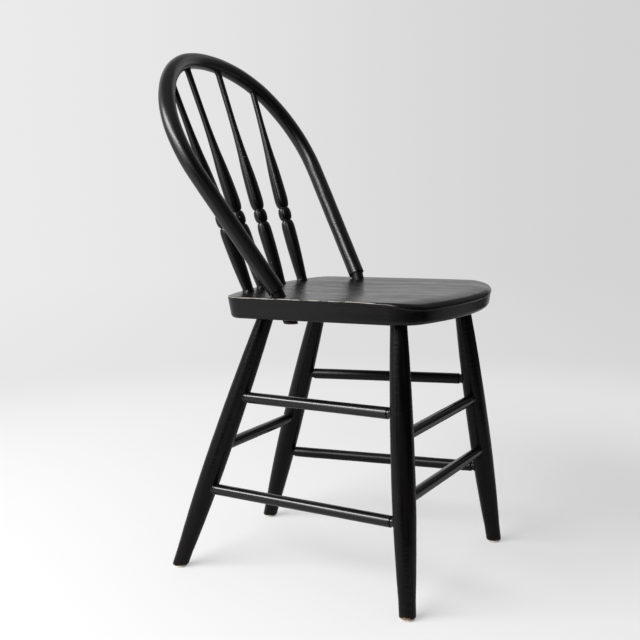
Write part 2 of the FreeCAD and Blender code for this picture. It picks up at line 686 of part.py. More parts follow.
DISH_Y = "(seat_rear_reach - dish_inset)"
turned_hollow("seat_dish", [
    (DISH_Y, "-1 * dish_depth", tangent_radius("dish_reach", "dish_depth"), 1),
    ("(%s + dish_reach)" % DISH_Y, "0"),
    ("(%s + dish_reach)" % DISH_Y, "seat_thickness / 2"),
    (DISH_Y, "seat_thickness / 2"),
], DISH_Y)

for (end, hand) in leg_sockets:
    foot, top = leg_line(end, hand)
    stop = along(foot, top, "1 + (leg_tenon_length + socket_end_room) / %s" % span(foot, top))
    seat_bores.append(rod("leg_bore_%s_%s" % (end, hand), SOCKET % "leg_tenon_diameter", top, stop,
                          extra_start="leg_tenon_diameter / 2"))
keep("seat", cut_away("seat_cut", plank, seat_bores))

doc.recompute()

# Every object has to be sound before any file is written
faults = [item.Name for item in doc.Objects if {"Invalid", "Error"} & set(item.State)]
if faults:
    raise RuntimeError("objects that failed: " + ", ".join(faults))
for name, item in nodes.items():
    if item.Shape.isNull() or not item.Shape.isValid() or not item.Shape.Solids:
        raise RuntimeError("bad shape: " + name)

whole = Part.makeCompound([item.Shape for item in nodes.values()]).optimalBoundingBox(False)
print("box X %.1f to %.1f, Y %.1f to %.1f, Z %.1f to %.1f" % (
    whole.XMin, whole.XMax, whole.YMin, whole.YMax, whole.ZMin, whole.ZMax))

os.makedirs("parts", exist_ok=True)
for name, item in nodes.items():
    item.Shape.exportStep(os.path.join("parts", name + ".step"))
    print("%-28s %2d solid %10.0f mm3" % (name, len(item.Shape.Solids), item.Shape.Volume))
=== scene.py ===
# %% [markdown]
# # A black bow-back Windsor chair
#
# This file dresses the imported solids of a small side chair: a plank seat, a bent bow, four turned
# spindles, four turned legs and seven dowel stretchers, all brushed with black paint. Every wooden
# piece is a surface worked out with numpy on a grid, laid over its solid, and carries the small
# faults that hand work leaves. Distances are in metres, +Z is up and the sitter faces -Y.

# %% Load the frame
import math

import bpy
import numpy as np
from mathutils import Matrix, Vector


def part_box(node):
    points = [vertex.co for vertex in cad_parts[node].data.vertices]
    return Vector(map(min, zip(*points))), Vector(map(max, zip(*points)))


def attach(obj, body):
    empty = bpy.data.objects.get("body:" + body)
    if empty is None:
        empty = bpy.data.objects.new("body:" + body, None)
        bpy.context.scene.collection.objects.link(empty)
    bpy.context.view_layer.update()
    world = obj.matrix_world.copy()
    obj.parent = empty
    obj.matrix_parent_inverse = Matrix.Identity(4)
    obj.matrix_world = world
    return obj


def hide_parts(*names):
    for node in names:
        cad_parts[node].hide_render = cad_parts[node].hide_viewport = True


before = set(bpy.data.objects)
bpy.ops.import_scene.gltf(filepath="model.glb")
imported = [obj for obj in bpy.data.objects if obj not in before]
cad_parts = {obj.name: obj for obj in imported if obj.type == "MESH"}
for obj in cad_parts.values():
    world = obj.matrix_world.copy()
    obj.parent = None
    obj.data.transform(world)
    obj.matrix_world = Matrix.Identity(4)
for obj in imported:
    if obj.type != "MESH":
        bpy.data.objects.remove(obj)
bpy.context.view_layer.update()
MM = 0.001
BODY = "root"

# %% [markdown]
# ## The camera
#
# The camera stands near the sitter's right rear quarter, a little above the seat, with the lens of
# a short telephoto. Its three axes are built from a heading, a dip and a small roll, which is
# easier to read and change than a matrix or three Euler angles.

# %% Put the camera where the chair is seen from
CAMERA_PLACE = Vector((-1.5358, -0.8125, 0.6364))
CAMERA_HEADING = math.radians(28.45)
CAMERA_DIP = math.radians(7.98)
CAMERA_ROLL = math.radians(-1.30)
CAMERA_LENS = 61.96
SENSOR = 36.0

ahead = Vector((math.cos(CAMERA_HEADING) * math.cos(CAMERA_DIP),
                math.sin(CAMERA_HEADING) * math.cos(CAMERA_DIP), -math.sin(CAMERA_DIP)))
level = Vector((math.sin(CAMERA_HEADING), -math.cos(CAMERA_HEADING), 0.0))
upright = level.cross(ahead)
camera_right = math.cos(CAMERA_ROLL) * level + math.sin(CAMERA_ROLL) * upright
camera_up = math.cos(CAMERA_ROLL) * upright - math.sin(CAMERA_ROLL) * level

camera_data = bpy.data.cameras.new("camera")
camera_data.lens = CAMERA_LENS
camera_data.sensor_width = SENSOR
camera = bpy.data.objects.new("camera", camera_data)
bpy.context.scene.collection.objects.link(camera)
camera.matrix_world = (Matrix.Translation(CAMERA_PLACE)
                       @ Matrix((camera_right, camera_up, -ahead)).transposed().to_4x4())
bpy.context.scene.camera = camera

# %% [markdown]
# ## Grids into meshes
#
# A turned or bent rod is a stack of rings, and a plank is a stack of nested outlines, so one helper
# serves every piece. It takes an array of rows, each a closed ring of points, joins neighbours with
# quads and closes both ends with a fan. Two attributes travel with each point: `grain`, the place
# in the wood with its third number along the fibres, and `wear`, how exposed the paint is.

# %% From rows of rings to a closed piece
def ring_piece(name, rings, grain, wear, nodes, first_pole, last_pole):
    """Quads join ring i to ring i+1 and point j to j+1, wrapping round; a fan closes each end."""
    rows, columns = rings.shape[:2]
    points = np.concatenate([rings.reshape(-1, 3), [first_pole, last_pole]])
    row, column = np.meshgrid(np.arange(rows - 1), np.arange(columns), indexing="ij")
    after = (column + 1) % columns
    quads = np.stack([row * columns + column, row * columns + after,
                      (row + 1) * columns + after, (row + 1) * columns + column], -1).reshape(-1, 4)
    edge = np.arange(columns)
    following = (edge + 1) % columns
    start_pole, end_pole = rows * columns, rows * columns + 1
    last_row = (rows - 1) * columns
    fans = np.concatenate([
        np.stack([np.full(columns, start_pole), following, edge], -1),
        np.stack([np.full(columns, end_pole), last_row + edge, last_row + following], -1)])
    mesh = bpy.data.meshes.new(name)
    mesh.from_pydata(points.tolist(), [], quads.tolist() + fans.tolist())
    put_attribute(mesh, "grain", "FLOAT_VECTOR", "vector", grain, columns)
    put_attribute(mesh, "wear", "FLOAT", "value", wear, columns)
    mesh.polygons.foreach_set("use_smooth", np.ones(len(mesh.polygons), bool))
    mesh.update()
    piece = bpy.data.objects.new(name, mesh)
    bpy.context.scene.collection.objects.link(piece)
    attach(piece, BODY)
    if nodes:
        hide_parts(*nodes)
    return piece


def put_attribute(mesh, name, kind, field, values, columns):
    """Store values given per ring point; each end's pole takes the mean of the ring beside it."""
    rows = values.reshape(-1, columns, *values.shape[2:])
    poles = np.stack([rows[0].mean(0), rows[-1].mean(0)])
    flat = np.concatenate([rows.reshape(-1, *values.shape[2:]), poles])
    mesh.attributes.new(name, kind, "POINT").data.foreach_set(field, flat.astype(np.float32).ravel())


# %% [markdown]
# ## Hand-made unevenness
#
# Nothing on an old painted chair is a perfect circle. A sum of a few waves, each going round the
# piece a whole number of times, is smooth, closes without a seam and is the same on every run.

# %% Smooth unevenness from seeded waves
def unevenness(seed, turn, along, longest, count=9):
    """Sum of cosines of (whole turns x angle + along x wave number + phase), scaled to about +-1."""
    draw = np.random.default_rng(seed)
    turns = draw.integers(0, 4, count)
    waves = 2 * math.pi / (longest * draw.uniform(0.12, 1.0, count))
    phases = draw.uniform(0, 2 * math.pi, count)
    sizes = draw.uniform(0.4, 1.0, count)
    total = sum(size * np.cos(whole * turn + wave * along + phase)
                for whole, wave, phase, size in zip(turns, waves, phases, sizes))
    return total / sizes.sum() * 1.6


def around(count):
    """Angles of `count` even steps round a full turn."""
    return np.linspace(0, 2 * math.pi, count, endpoint=False)


def smooth_step(low, high, value):
    """0 below low, 1 above high, with an S-shaped cubic between."""
    share = np.clip((value - low) / (high - low), 0, 1)
    return share * share * (3 - 2 * share)


def bump_at(value, centre, width):
    """A bell of height 1 at the centre that has fallen to 0.37 at one width from it."""
    return np.exp(-((value - centre) / width) ** 2)


# %% [markdown]
# ## Where things are
#
# The lines of the legs, stretchers and spindles follow the solids. The seat slopes back by a third
# of a degree, so its height is a formula of the place: it is exactly as stated at the middle.

# %% Lines of the frame
SEAT_TOP = 445 * MM
SEAT_THICK = 33 * MM
SEAT_UNDERSIDE = SEAT_TOP - SEAT_THICK
SEAT_SLOPE = math.radians(0.3)
GLIDE_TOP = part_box("glide_front_left")[1].z
SIDES = {"right": -1, "left": 1}
LEG_TOP = {"front": (123.65 * MM, -173.9 * MM), "rear": (88.35 * MM, 64.8 * MM)}
LEG_SPREAD = {"front": (57.5 * MM, -34.2 * MM), "rear": (53.5 * MM, 146.4 * MM)}
CORNERS = [(end, side) for end in LEG_TOP for side in SIDES]


def slope_lift(y):
    """How far the sloping seat stands above its stated height at a place y."""
    return -y * math.tan(SEAT_SLOPE)


def leg_line(end, side):
    """Floor point and seat point of a leg's axis."""
    (top_x, top_y), (out, back) = LEG_TOP[end], LEG_SPREAD[end]
    foot = np.array([SIDES[side] * (top_x + out), top_y + back, 0.0])
    top = np.array([SIDES[side] * top_x, top_y, SEAT_UNDERSIDE])
    return foot, top


def leg_point(end, side, height):
    """The point of a leg's axis at a height above the floor."""
    foot, top = leg_line(end, side)
    return foot + (top - foot) * height / SEAT_UNDERSIDE


def axes_about(start, end):
    """Unit vector along a line, two more square to it, and the line's length."""
    length = np.linalg.norm(end - start)
    along = (end - start) / length
    across = np.cross(along, [0.0, 0.0, 1.0])
    across = across / np.linalg.norm(across)
    return along, across, np.cross(along, across), length


# %% [markdown]
# ## Turning on the lathe
#
# A turned piece is its profile, a radius for each distance along the axis, carried round the axis.
# The rings need not be flat: `start_at` gives each point of the first ring its own distance, which
# is how a leg's foot is cut level with the floor although the leg leans. A sharp edge is broken with
# a quarter round, so two helpers give its rings and what it takes off the radius.

# %% Level cuts and broken edges
def level_cut(radius, rise):
    """Each side of a leaning piece starts where its skin reaches `rise` above the axis's start."""
    def start_at(turn, across, outward, along):
        lift = radius * (np.cos(turn) * across[2] + np.sin(turn) * outward[2])
        return (rise - lift) / along[2]

    return start_at


def quarter_rows(size, count):
    """Distances of rings over a quarter round: size x (1 - cos angle), from 0 to 90 degrees."""
    return size * (1 - np.cos(np.linspace(0, math.pi / 2, count)))


def edge_loss(from_end, size):
    """What a quarter round takes off the radius: size - root of (size^2 - (size - distance)^2)."""
    inside = np.clip(size - from_end, 0, size)
    return size - np.sqrt(np.clip(size ** 2 - inside ** 2, 0, None))


# %% A surface of revolution with unevenness
def turned_surface(start, end, distances, radius_of, columns, seed, ripple, start_at=None, blend=0.0):
    """Point = start + axis x distance + (cos x across + sin x outward) x radius(distance)."""
    along, across, outward, _ = axes_about(start, end)
    turn = around(columns)[None, :]
    distance = np.repeat(distances[:, None], columns, axis=1)
    if start_at is not None:
        fade = 1 - smooth_step(0, blend, distances - distances[0])[:, None]
        distance = distance + fade * (start_at(turn, across, outward, along) - distances[0])
    radius = radius_of(distance)
    radius = radius + ripple * unevenness(seed, turn, distance, 0.25)
    spokes = np.cos(turn)[..., None] * across + np.sin(turn)[..., None] * outward
    points = start + distance[..., None] * along + radius[..., None] * spokes
    shift = np.random.default_rng(seed).uniform(-3, 3)
    grain = np.stack([radius * np.cos(turn), radius * np.sin(turn), distance + shift], -1)
    return points, grain, distance, spokes


def spaced(stops, fine):
    """Distances from the first stop to the last, about `fine` apart, that include every stop."""
    parts = [np.linspace(a, b, max(2, int(round((b - a) / fine)) + 1))[:-1]
             for a, b in zip(stops[:-1], stops[1:])]
    return np.concatenate(parts + [[stops[-1]]])


# %% [markdown]
# ## Legs
#
# A leg swells gently from its ankle to a fat middle and thins again to the seat. Both tapers are
# arcs that touch at the fattest place, so the radius there minus an arc's fall gives the profile.
# Paint gathers where the leg meets the seat, and the foot's sharp edge is knocked round. One front
# foot took a harder knock, which bared a patch of wood.

# %% Profile of a leg
LEG_FOOT, LEG_ANKLE, LEG_SWELL, LEG_TENON = 12.05 * MM, 12.55 * MM, 17.35 * MM, 12.45 * MM
ANKLE_AT, SWELL_AT = 28 * MM, 200 * MM
LEG_NECK, LEG_IN_SEAT = 7 * MM, 20.5 * MM
FOOT_EASE = 1.6 * MM
PAINT_BEAD = 1.1 * MM
FOOT_WORN = 3 * MM
ANKLE_WEAR, ANKLE_WEAR_AT, ANKLE_WORN = 0.3, 20 * MM, 50 * MM
KNOCK_WEAR, KNOCK_HIGH = 0.9, 5 * MM
KNOCK_HEADING, KNOCK_WIDE = math.radians(182), math.radians(50)


def arc_fall(distance, peak_at, far_at, fall):
    """How far a circle that touches at peak_at has fallen away, if it falls by `fall` at far_at."""
    reach = abs(far_at - peak_at)
    circle = (reach ** 2 + fall ** 2) / (2 * fall)
    away = np.clip(np.abs(distance - peak_at), 0, reach)
    return circle - np.sqrt(circle ** 2 - away ** 2)


def leg_radius(distance, length):
    """Arcs below and above the swell, a nearly straight ankle and a plain tenon."""
    neck_at = length - LEG_NECK
    radius = np.where(distance < SWELL_AT,
                      LEG_SWELL - arc_fall(distance, SWELL_AT, ANKLE_AT, LEG_SWELL - LEG_ANKLE),
                      LEG_SWELL - arc_fall(distance, SWELL_AT, neck_at, LEG_SWELL - LEG_TENON))
    ankle = LEG_FOOT + (LEG_ANKLE - LEG_FOOT) * np.clip(distance / ANKLE_AT, 0, 1)
    return np.where(distance < ANKLE_AT, ankle, radius)


# %% Make the four legs
LEG_COLUMNS, LEG_STEP, LEG_RIPPLE = 72, 1.4 * MM, 0.16 * MM
CUT_FADES, BEAD_REACH, KNOCKED_BY = 40 * MM, 2 * MM, 0.35


def make_leg(end, side, seed):
    """Close rings over the foot's broken edge, even ones up the leg, a bead where it meets the seat."""
    foot, top = leg_line(end, side)
    length = np.linalg.norm(top - foot)
    first = GLIDE_TOP * length / SEAT_UNDERSIDE
    edge_rows = first + np.linspace(0, 1.8 * MM, 9)[:-1]
    plain_rows = spaced([first + 2.4 * MM, length, length + LEG_IN_SEAT], LEG_STEP)
    distances = np.concatenate([edge_rows, plain_rows])

    def radius_of(distance):
        at_seat = length + slope_lift(top[1])
        return leg_radius(distance, length) + PAINT_BEAD * bump_at(distance, at_seat, BEAD_REACH)

    points, grain, _, spokes = turned_surface(
        foot, top, distances, radius_of, LEG_COLUMNS, seed, LEG_RIPPLE,
        level_cut(LEG_FOOT, GLIDE_TOP), CUT_FADES)
    above_cut = np.clip((points[..., 2] - GLIDE_TOP) / FOOT_EASE, 0, 1)
    knocked = 1 + KNOCKED_BY * unevenness(seed + 50, around(LEG_COLUMNS), 0.0, 1.0)
    ease = FOOT_EASE * 0.8 * np.clip(knocked, 0.3, 1.8) * (1 - np.sqrt(1 - (1 - above_cut) ** 2))
    points = points - ease[..., None] * spokes
    points[0, :, 2] = GLIDE_TOP
    wear = np.maximum(bump_at(points[..., 2], GLIDE_TOP, FOOT_WORN),
                      ANKLE_WEAR * bump_at(points[..., 2], ANKLE_WEAR_AT, ANKLE_WORN))
    if (end, side) == ("front", "right"):
        facing = spokes[..., 0] * math.cos(KNOCK_HEADING) + spokes[..., 1] * math.sin(KNOCK_HEADING)
        wear = wear + KNOCK_WEAR * (bump_at(points[..., 2], GLIDE_TOP, KNOCK_HIGH)
                                    * smooth_step(math.cos(KNOCK_WIDE), 1.0, facing))
    top_pole = foot + (top - foot) / length * distances[-1]
    name = "leg_%s_%s" % (end, side)
    piece = ring_piece(name + "_turned", points, grain, wear, [name],
                       points[0].mean(0), top_pole)
    print(piece.name, "length %.1f mm" % (length / MM))
    return piece


legs = [make_leg(end, side, seed) for seed, (end, side) in enumerate(CORNERS, start=11)]

# %% [markdown]
# ## Stretchers
#
# Each stretcher is a dowel with a thinner tenon turned at both ends. A few millimetres of the tenon
# show outside the leg. The paint has bridged the corner there, so the tenon flares where it comes
# near the leg's skin: the flare depends on each point's own distance from the leg.

# %% Distance from a leg's skin
def leg_clearance(points, end, side):
    """Distance of points from a leg's axis, less the leg's radius beside each of them."""
    foot, top = leg_line(end, side)
    along, _, _, length = axes_about(foot, top)
    reach = (points - foot) @ along
    off_axis = np.linalg.norm(points - foot - reach[..., None] * along, axis=-1)
    return off_axis - leg_radius(reach, length)


# %% Profile of a stretcher
STRETCHER, STRETCHER_TENON = 8.7 * MM, 7.25 * MM
SHOULDER_FROM_AXIS = 20.75 * MM
SHOULDER_ROUND = 1.4 * MM
STRETCHER_END = 3.4 * MM
STRETCHERS = {
    "stretcher_front_upper": (("front", "right", 253 * MM), ("front", "left", 253 * MM)),
    "stretcher_front_lower": (("front", "right", 163.9 * MM), ("front", "left", 163.9 * MM)),
    "stretcher_rear": (("rear", "right", 198.4 * MM), ("rear", "left", 198.4 * MM)),
}
for side in SIDES:
    STRETCHERS["stretcher_side_upper_" + side] = (
        ("front", side, 284.7 * MM), ("rear", side, 280.2 * MM))
    STRETCHERS["stretcher_side_lower_" + side] = (
        ("front", side, 132.2 * MM), ("rear", side, 131.4 * MM))


def stretcher_radius(distance, length):
    """The dowel's radius, a quarter round at each shoulder, then the tenon's radius."""
    inside = np.minimum(distance, length - distance) - SHOULDER_FROM_AXIS
    return np.where(inside < 0, STRETCHER_TENON, STRETCHER - edge_loss(inside, SHOULDER_ROUND))


# %% Make the seven stretchers
STRETCHER_COLUMNS, STRETCHER_STEP, STRETCHER_RIPPLE = 48, 1.6 * MM, 0.13 * MM
FLARE_REACH = 1.1 * MM
SHOULDER_WEAR, SHOULDER_WORN, UPPER_WEAR = 0.5, 1.5 * MM, 0.35


def make_stretcher(name, first, second, seed):
    """Close rings on the tenons and shoulders; the flare pushes the tenon's points out by the leg."""
    start, end = leg_point(*first), leg_point(*second)
    length = np.linalg.norm(end - start)
    shoulders = [SHOULDER_FROM_AXIS, SHOULDER_FROM_AXIS + SHOULDER_ROUND]
    near = spaced([STRETCHER_END, shoulders[0] - 0.05 * MM], STRETCHER_STEP / 2)
    bend = shoulders[0] + quarter_rows(SHOULDER_ROUND, 7)
    middle = spaced([shoulders[1], length - shoulders[1]], STRETCHER_STEP)[1:-1]
    distances = np.concatenate([near, bend, middle, (length - bend)[::-1], (length - near)[::-1]])
    points, grain, distance, spokes = turned_surface(
        start, end, distances, lambda d: stretcher_radius(d, length), STRETCHER_COLUMNS, seed,
        STRETCHER_RIPPLE)
    flare = sum(PAINT_BEAD * bump_at(np.clip(leg_clearance(points, *leg[:2]), 0, None), 0, FLARE_REACH)
                for leg in (first, second))
    from_axis = np.minimum(distance, length - distance)
    points = points + (flare * (from_axis < SHOULDER_FROM_AXIS))[..., None] * spokes
    wear = (SHOULDER_WEAR * bump_at(from_axis, shoulders[1], SHOULDER_WORN)
            + UPPER_WEAR * np.clip(spokes[..., 2], 0, 1) ** 2)
    along = (end - start) / length
    return ring_piece(name + "_dowel", points, grain, wear, [name],
                      start + along * distances[0], start + along * distances[-1])


stretchers = [make_stretcher(name, first, second, seed)
              for seed, (name, (first, second)) in enumerate(STRETCHERS.items(), start=31)]
print("stretchers:", len(stretchers))

# %% [markdown]
# ## The bow
#
# The bow is one steamed rod. Its middle line lies in a plane that leans back: straight sides that
# spread, a tighter arc at each shoulder and a wider arc over the crown. The line is written by its
# own length, so that rings are evenly spaced: each stretch starts where the last one ended.

# %% Middle line of the bow
BOW_RADIUS = 12.8 * MM
BOW_FOOT = (131.95 * MM, 14.7 * MM)
BOW_LEAN, BOW_SPREAD = math.radians(31), math.radians(13.15)
BOW_SIDE, BOW_SHOULDER = 217 * MM, 168 * MM
CROWN_ANGLE = math.radians(50)
BOW_RISE = 9 * MM
CROWN_BACK, CROWN_HALF = 5 * MM, 150 * MM

side_top = np.array([BOW_FOOT[0] + BOW_SIDE * math.sin(BOW_SPREAD), BOW_SIDE * math.cos(BOW_SPREAD)])
shoulder_centre = side_top + BOW_SHOULDER * np.array([-math.cos(BOW_SPREAD), math.sin(BOW_SPREAD)])
bow_crown = BOW_SHOULDER + shoulder_centre[0] / math.sin(CROWN_ANGLE)
crown_centre = np.array([0.0, shoulder_centre[1] - shoulder_centre[0] / math.tan(CROWN_ANGLE)])
shoulder_turn = math.pi / 2 + BOW_SPREAD - CROWN_ANGLE
half_length = (BOW_SIDE - BOW_RISE) + BOW_SHOULDER * shoulder_turn + bow_crown * CROWN_ANGLE


def half_bow(length):
    """Place in the bow's plane and heading, by length from the left end to the top."""
    on_side = np.clip(length, 0, BOW_SIDE - BOW_RISE)
    on_shoulder = np.clip(length - (BOW_SIDE - BOW_RISE), 0, BOW_SHOULDER * shoulder_turn)
    on_crown = np.clip(length - (BOW_SIDE - BOW_RISE) - BOW_SHOULDER * shoulder_turn, 0, None)
    heading = on_shoulder / BOW_SHOULDER + on_crown / bow_crown - BOW_SPREAD
    side = np.stack([BOW_FOOT[0] + (BOW_RISE + on_side) * math.sin(BOW_SPREAD),
                     (BOW_RISE + on_side) * math.cos(BOW_SPREAD)], -1)
    outward = np.stack([np.cos(heading), np.sin(heading)], -1)
    shoulder = shoulder_centre + BOW_SHOULDER * outward
    crown = crown_centre + bow_crown * outward
    place = np.where((on_shoulder > 0)[:, None], shoulder, side)
    return np.where((on_crown > 0)[:, None], crown, place), heading


BOW_NORMAL = np.array([0.0, math.cos(BOW_LEAN), -math.sin(BOW_LEAN)])
bow_height = half_bow(np.array([half_length]))[0][0, 1]


def bow_line(length):
    """The whole middle line in the chair, with the in-plane outward direction at each point.

    The crown was pulled back more than the arms, so off its plane the line moves by
    CROWN_BACK x (a bell over the crown - the share of the height).
    """
    folded = np.where(length <= half_length, length, 2 * half_length - length)
    mirror = np.where(length <= half_length, 1.0, -1.0)
    place, heading = half_bow(folded)
    back = np.array([0.0, math.sin(BOW_LEAN), math.cos(BOW_LEAN)])
    foot = np.array([0.0, BOW_FOOT[1], SEAT_TOP])
    middle = foot + (mirror * place[:, 0])[:, None] * [1.0, 0, 0] + place[:, 1][:, None] * back
    over_crown = np.clip(1 - (place[:, 0] / CROWN_HALF) ** 2, 0, 1) ** 2 * (place[:, 1] > BOW_SIDE)
    middle = middle + (CROWN_BACK * (over_crown - place[:, 1] / bow_height))[:, None] * BOW_NORMAL
    outward = (mirror * np.cos(heading))[:, None] * [1.0, 0, 0] + np.sin(heading)[:, None] * back
    return middle, outward


print("bow length %.0f mm" % (2 * half_length / MM))

# %% [markdown]
# The rod is not quite round after bending: its belly is a little flattened. Its ends are sawn
# square, with the edge just broken, and a dent marks the near arm.

# %% Make the bow
END_BREAK = 1.2 * MM
BOW_COLUMNS, BOW_STEP, BOW_RIPPLE, BOW_FLATTENED = 80, 1.7 * MM, 0.22 * MM, 0.18 * MM
DENT_AT, DENT_LONG, DENT_DEPTH = 165 * MM, 4 * MM, 0.7 * MM
DENT_TURN, DENT_WIDE = math.radians(200), 0.3
END_WORN, CROWN_WEAR, CROWN_WORN = 2.5 * MM, 0.3, 250 * MM


def make_bow():
    """Rings square to the middle line, each flattened a little: radius - flat x cos(2 x angle)."""
    ease = quarter_rows(END_BREAK, 6)
    body = spaced([END_BREAK, 2 * half_length - END_BREAK], BOW_STEP)[1:-1]
    length = np.concatenate([ease, body, (2 * half_length - ease)[::-1]])
    middle, outward = bow_line(length)
    turn = around(BOW_COLUMNS)[None, :]
    run = np.repeat(length[:, None], BOW_COLUMNS, axis=1)
    from_end = np.minimum(run, 2 * half_length - run)
    near_arm = 2 * half_length - run
    radius = BOW_RADIUS - edge_loss(from_end, END_BREAK)
    radius = radius + BOW_RIPPLE * unevenness(71, turn, run, 0.35) - BOW_FLATTENED * np.cos(2 * turn)
    radius = radius - (DENT_DEPTH * bump_at(near_arm, DENT_AT, DENT_LONG)
                       * bump_at(turn, DENT_TURN, DENT_WIDE))
    spokes = np.cos(turn)[..., None] * outward[:, None, :] + np.sin(turn)[..., None] * BOW_NORMAL
    points = middle[:, None, :] + radius[..., None] * spokes
    grain = np.stack([radius * np.cos(turn), radius * np.sin(turn), run], -1)
    wear = (bump_at(from_end, 0, END_WORN) + CROWN_WEAR * bump_at(run, half_length, CROWN_WORN)
            + bump_at(near_arm, DENT_AT, 1.25 * DENT_LONG) * bump_at(turn, DENT_TURN, 0.35))
    return ring_piece("bow_rod", points, grain, np.clip(wear, 0, 1), ["bow"],
                      middle[0], middle[-1])


bow = make_bow()

# %% [markdown]
# Below each sawn end a thinner tenon goes down through the seat. It is stained red-brown, with only
# a thin coat of black, and its end, cut level, shows bare under the plank.

# %% Make the bow's tenons
TENON_RADIUS = 10 * MM
TENON_LEAN, TENON_SPLAY = math.radians(19.5), math.radians(12)
TENON_ROOT, TENON_SHOWS, TENON_BREAK = 8 * MM, 8.5 * MM, 0.7 * MM
TENON_COLUMNS, TENON_STEP, TENON_RIPPLE, TENON_WORN = 56, 1.2 * MM, 0.12 * MM, 3 * MM


def make_bow_tenon(side, seed):
    """A cylinder from inside the bow's end down through the seat, with its lower edge broken."""
    end = bow_line(np.array([0.0 if side == "left" else 2 * half_length]))[0][0]
    slope = np.array([SIDES[side] * math.tan(TENON_SPLAY), math.tan(TENON_LEAN), 1.0])
    high = end + slope * TENON_ROOT
    low = end + slope * (SEAT_UNDERSIDE - TENON_SHOWS - end[2])
    length = np.linalg.norm(high - low)
    distances = np.concatenate([quarter_rows(TENON_BREAK, 5)[:-1],
                                spaced([TENON_BREAK, length], TENON_STEP)])

    def radius_of(distance):
        return TENON_RADIUS - edge_loss(distances[:, None] + 0 * distance, TENON_BREAK)

    points, grain, _, _ = turned_surface(
        low, high, distances, radius_of, TENON_COLUMNS, seed, TENON_RIPPLE,
        level_cut(TENON_RADIUS, 0.0), CUT_FADES / 2)
    wear = bump_at(points[..., 2], low[2], TENON_WORN)
    return ring_piece("bow_tenon_" + side, points, grain, wear, [], low, high)


tenons = [make_bow_tenon(side, seed) for seed, side in enumerate(SIDES, start=81)]
print("bow pieces:", [piece.name for piece in [bow] + tenons])

# %% [markdown]
# ## Spindles
#
# Reading up from the seat: a straight foot, a long vase that swells and then turns in quickly, a
# tight neck, a ball, a second neck, a round shoulder and a taper that thins like a pool cue. The
# quick turns are superellipses, whose exponent sets how full the curve is: 2 gives the ball's
# plain ellipse, and a little more gives the squarer shoulders of the two swells.

# %% Profile of a spindle
FOOT_R, VASE_R, NECK_R, BALL_R, SWELL_R, TOP_R = (
    8.5 * MM, 11.3 * MM, 7.5 * MM, 10.8 * MM, 11.3 * MM, 5 * MM)
FOOT_RISE, VASE_AT, LOW_NECK, HIGH_NECK, SHOULDER_AT, TAPER_END = (
    5 * MM, 88 * MM, 106 * MM, 128 * MM, 146 * MM, 315 * MM)
NECK_HALF = 0.75 * MM
BULGE_SHARE, BULGE_LEFT = 0.45, 0.42
BULGE_SAG, HOLLOW_SAG = 0.72 * MM, 0.8 * MM


def full_curve(share, exponent):
    """Height of a superellipse quarter: 1 at share 0, falling ever faster to 0 at share 1."""
    return (1 - np.clip(np.abs(share), 0, 1) ** exponent) ** (1 / 2.0)


def spindle_radius(height):
    """Each stretch of the spindle in turn, chosen by the height above the seat."""
    ball_low, ball_high = LOW_NECK + NECK_HALF, HIGH_NECK - NECK_HALF
    ball_middle, ball_half = (ball_low + ball_high) / 2, (ball_high - ball_low) / 2
    vase_end, shoulder_start = LOW_NECK - NECK_HALF, HIGH_NECK + NECK_HALF
    bulge_end = SHOULDER_AT + (TAPER_END - SHOULDER_AT) * BULGE_SHARE
    bulge_radius = TOP_R + (SWELL_R - TOP_R) * BULGE_LEFT
    vase = VASE_R - arc_fall(height, VASE_AT, FOOT_RISE, VASE_R - FOOT_R)
    vase_turn = NECK_R + (VASE_R - NECK_R) * full_curve((height - VASE_AT) / (vase_end - VASE_AT), 2.3)
    ball = NECK_R + (BALL_R - NECK_R) * full_curve((height - ball_middle) / ball_half, 2.0)
    shoulder = NECK_R + (SWELL_R - NECK_R) * full_curve(
        (SHOULDER_AT - height) / (SHOULDER_AT - shoulder_start), 2.3)
    bulge_share = (height - SHOULDER_AT) / (bulge_end - SHOULDER_AT)
    bulge = (SWELL_R + (bulge_radius - SWELL_R) * bulge_share
             + 4 * BULGE_SAG * bulge_share * (1 - bulge_share))
    hollow_share = (height - bulge_end) / (TAPER_END - bulge_end)
    hollow = (bulge_radius + (TOP_R - bulge_radius) * hollow_share
              - 4 * HOLLOW_SAG * hollow_share * (1 - hollow_share))
    return np.select(
        [height < FOOT_RISE, height < VASE_AT, height < vase_end, height < ball_low,
         height < ball_high, height < shoulder_start, height < SHOULDER_AT, height < bulge_end,
         height < TAPER_END],
        [FOOT_R, vase, vase_turn, NECK_R, ball, NECK_R, shoulder, bulge, hollow], TOP_R)


# %% Make the four spindles
SPINDLE_FOOT = {"inner": (28.9 * MM, 108 * MM), "outer": (85.8 * MM, 99.1 * MM)}
SPINDLE_TOP_OUT = {"inner": 45.1 * MM, "outer": 118.1 * MM}
SPINDLE_IN_SEAT = 17.5 * MM
SPINDLE_COLUMNS, SPINDLE_STEP, FINE_STEP, SPINDLE_RIPPLE = 56, 1.6 * MM, 0.45 * MM, 0.1 * MM
SEAT_BEAD_REACH, BOW_BEAD_REACH = 1.3 * MM, 1.5 * MM
CREST_WEAR, CREST_WORN, CREST_IN = 0.4, 3.5 * MM, 4 * MM
# Bored by hand: how far each pair's feet and tops sit to the sitter's left of their true places
FOOT_OFF = {"inner": 0.25 * MM, "outer": 1.0 * MM}
TOP_OFF = {"inner": -1.0 * MM, "outer": 0.9 * MM}


def spindle_top(kind, side):
    """The point of the bow's middle line that the spindle's axis runs to."""
    length = np.linspace(0, half_length, 4001)
    place, _ = half_bow(length)
    upper = length > BOW_SIDE
    best = np.argmin(np.abs(place[:, 0] - SPINDLE_TOP_OUT[kind]) + np.where(upper, 0, 1))
    at = length[best] if side == "left" else 2 * half_length - length[best]
    return bow_line(np.array([at]))[0][0]


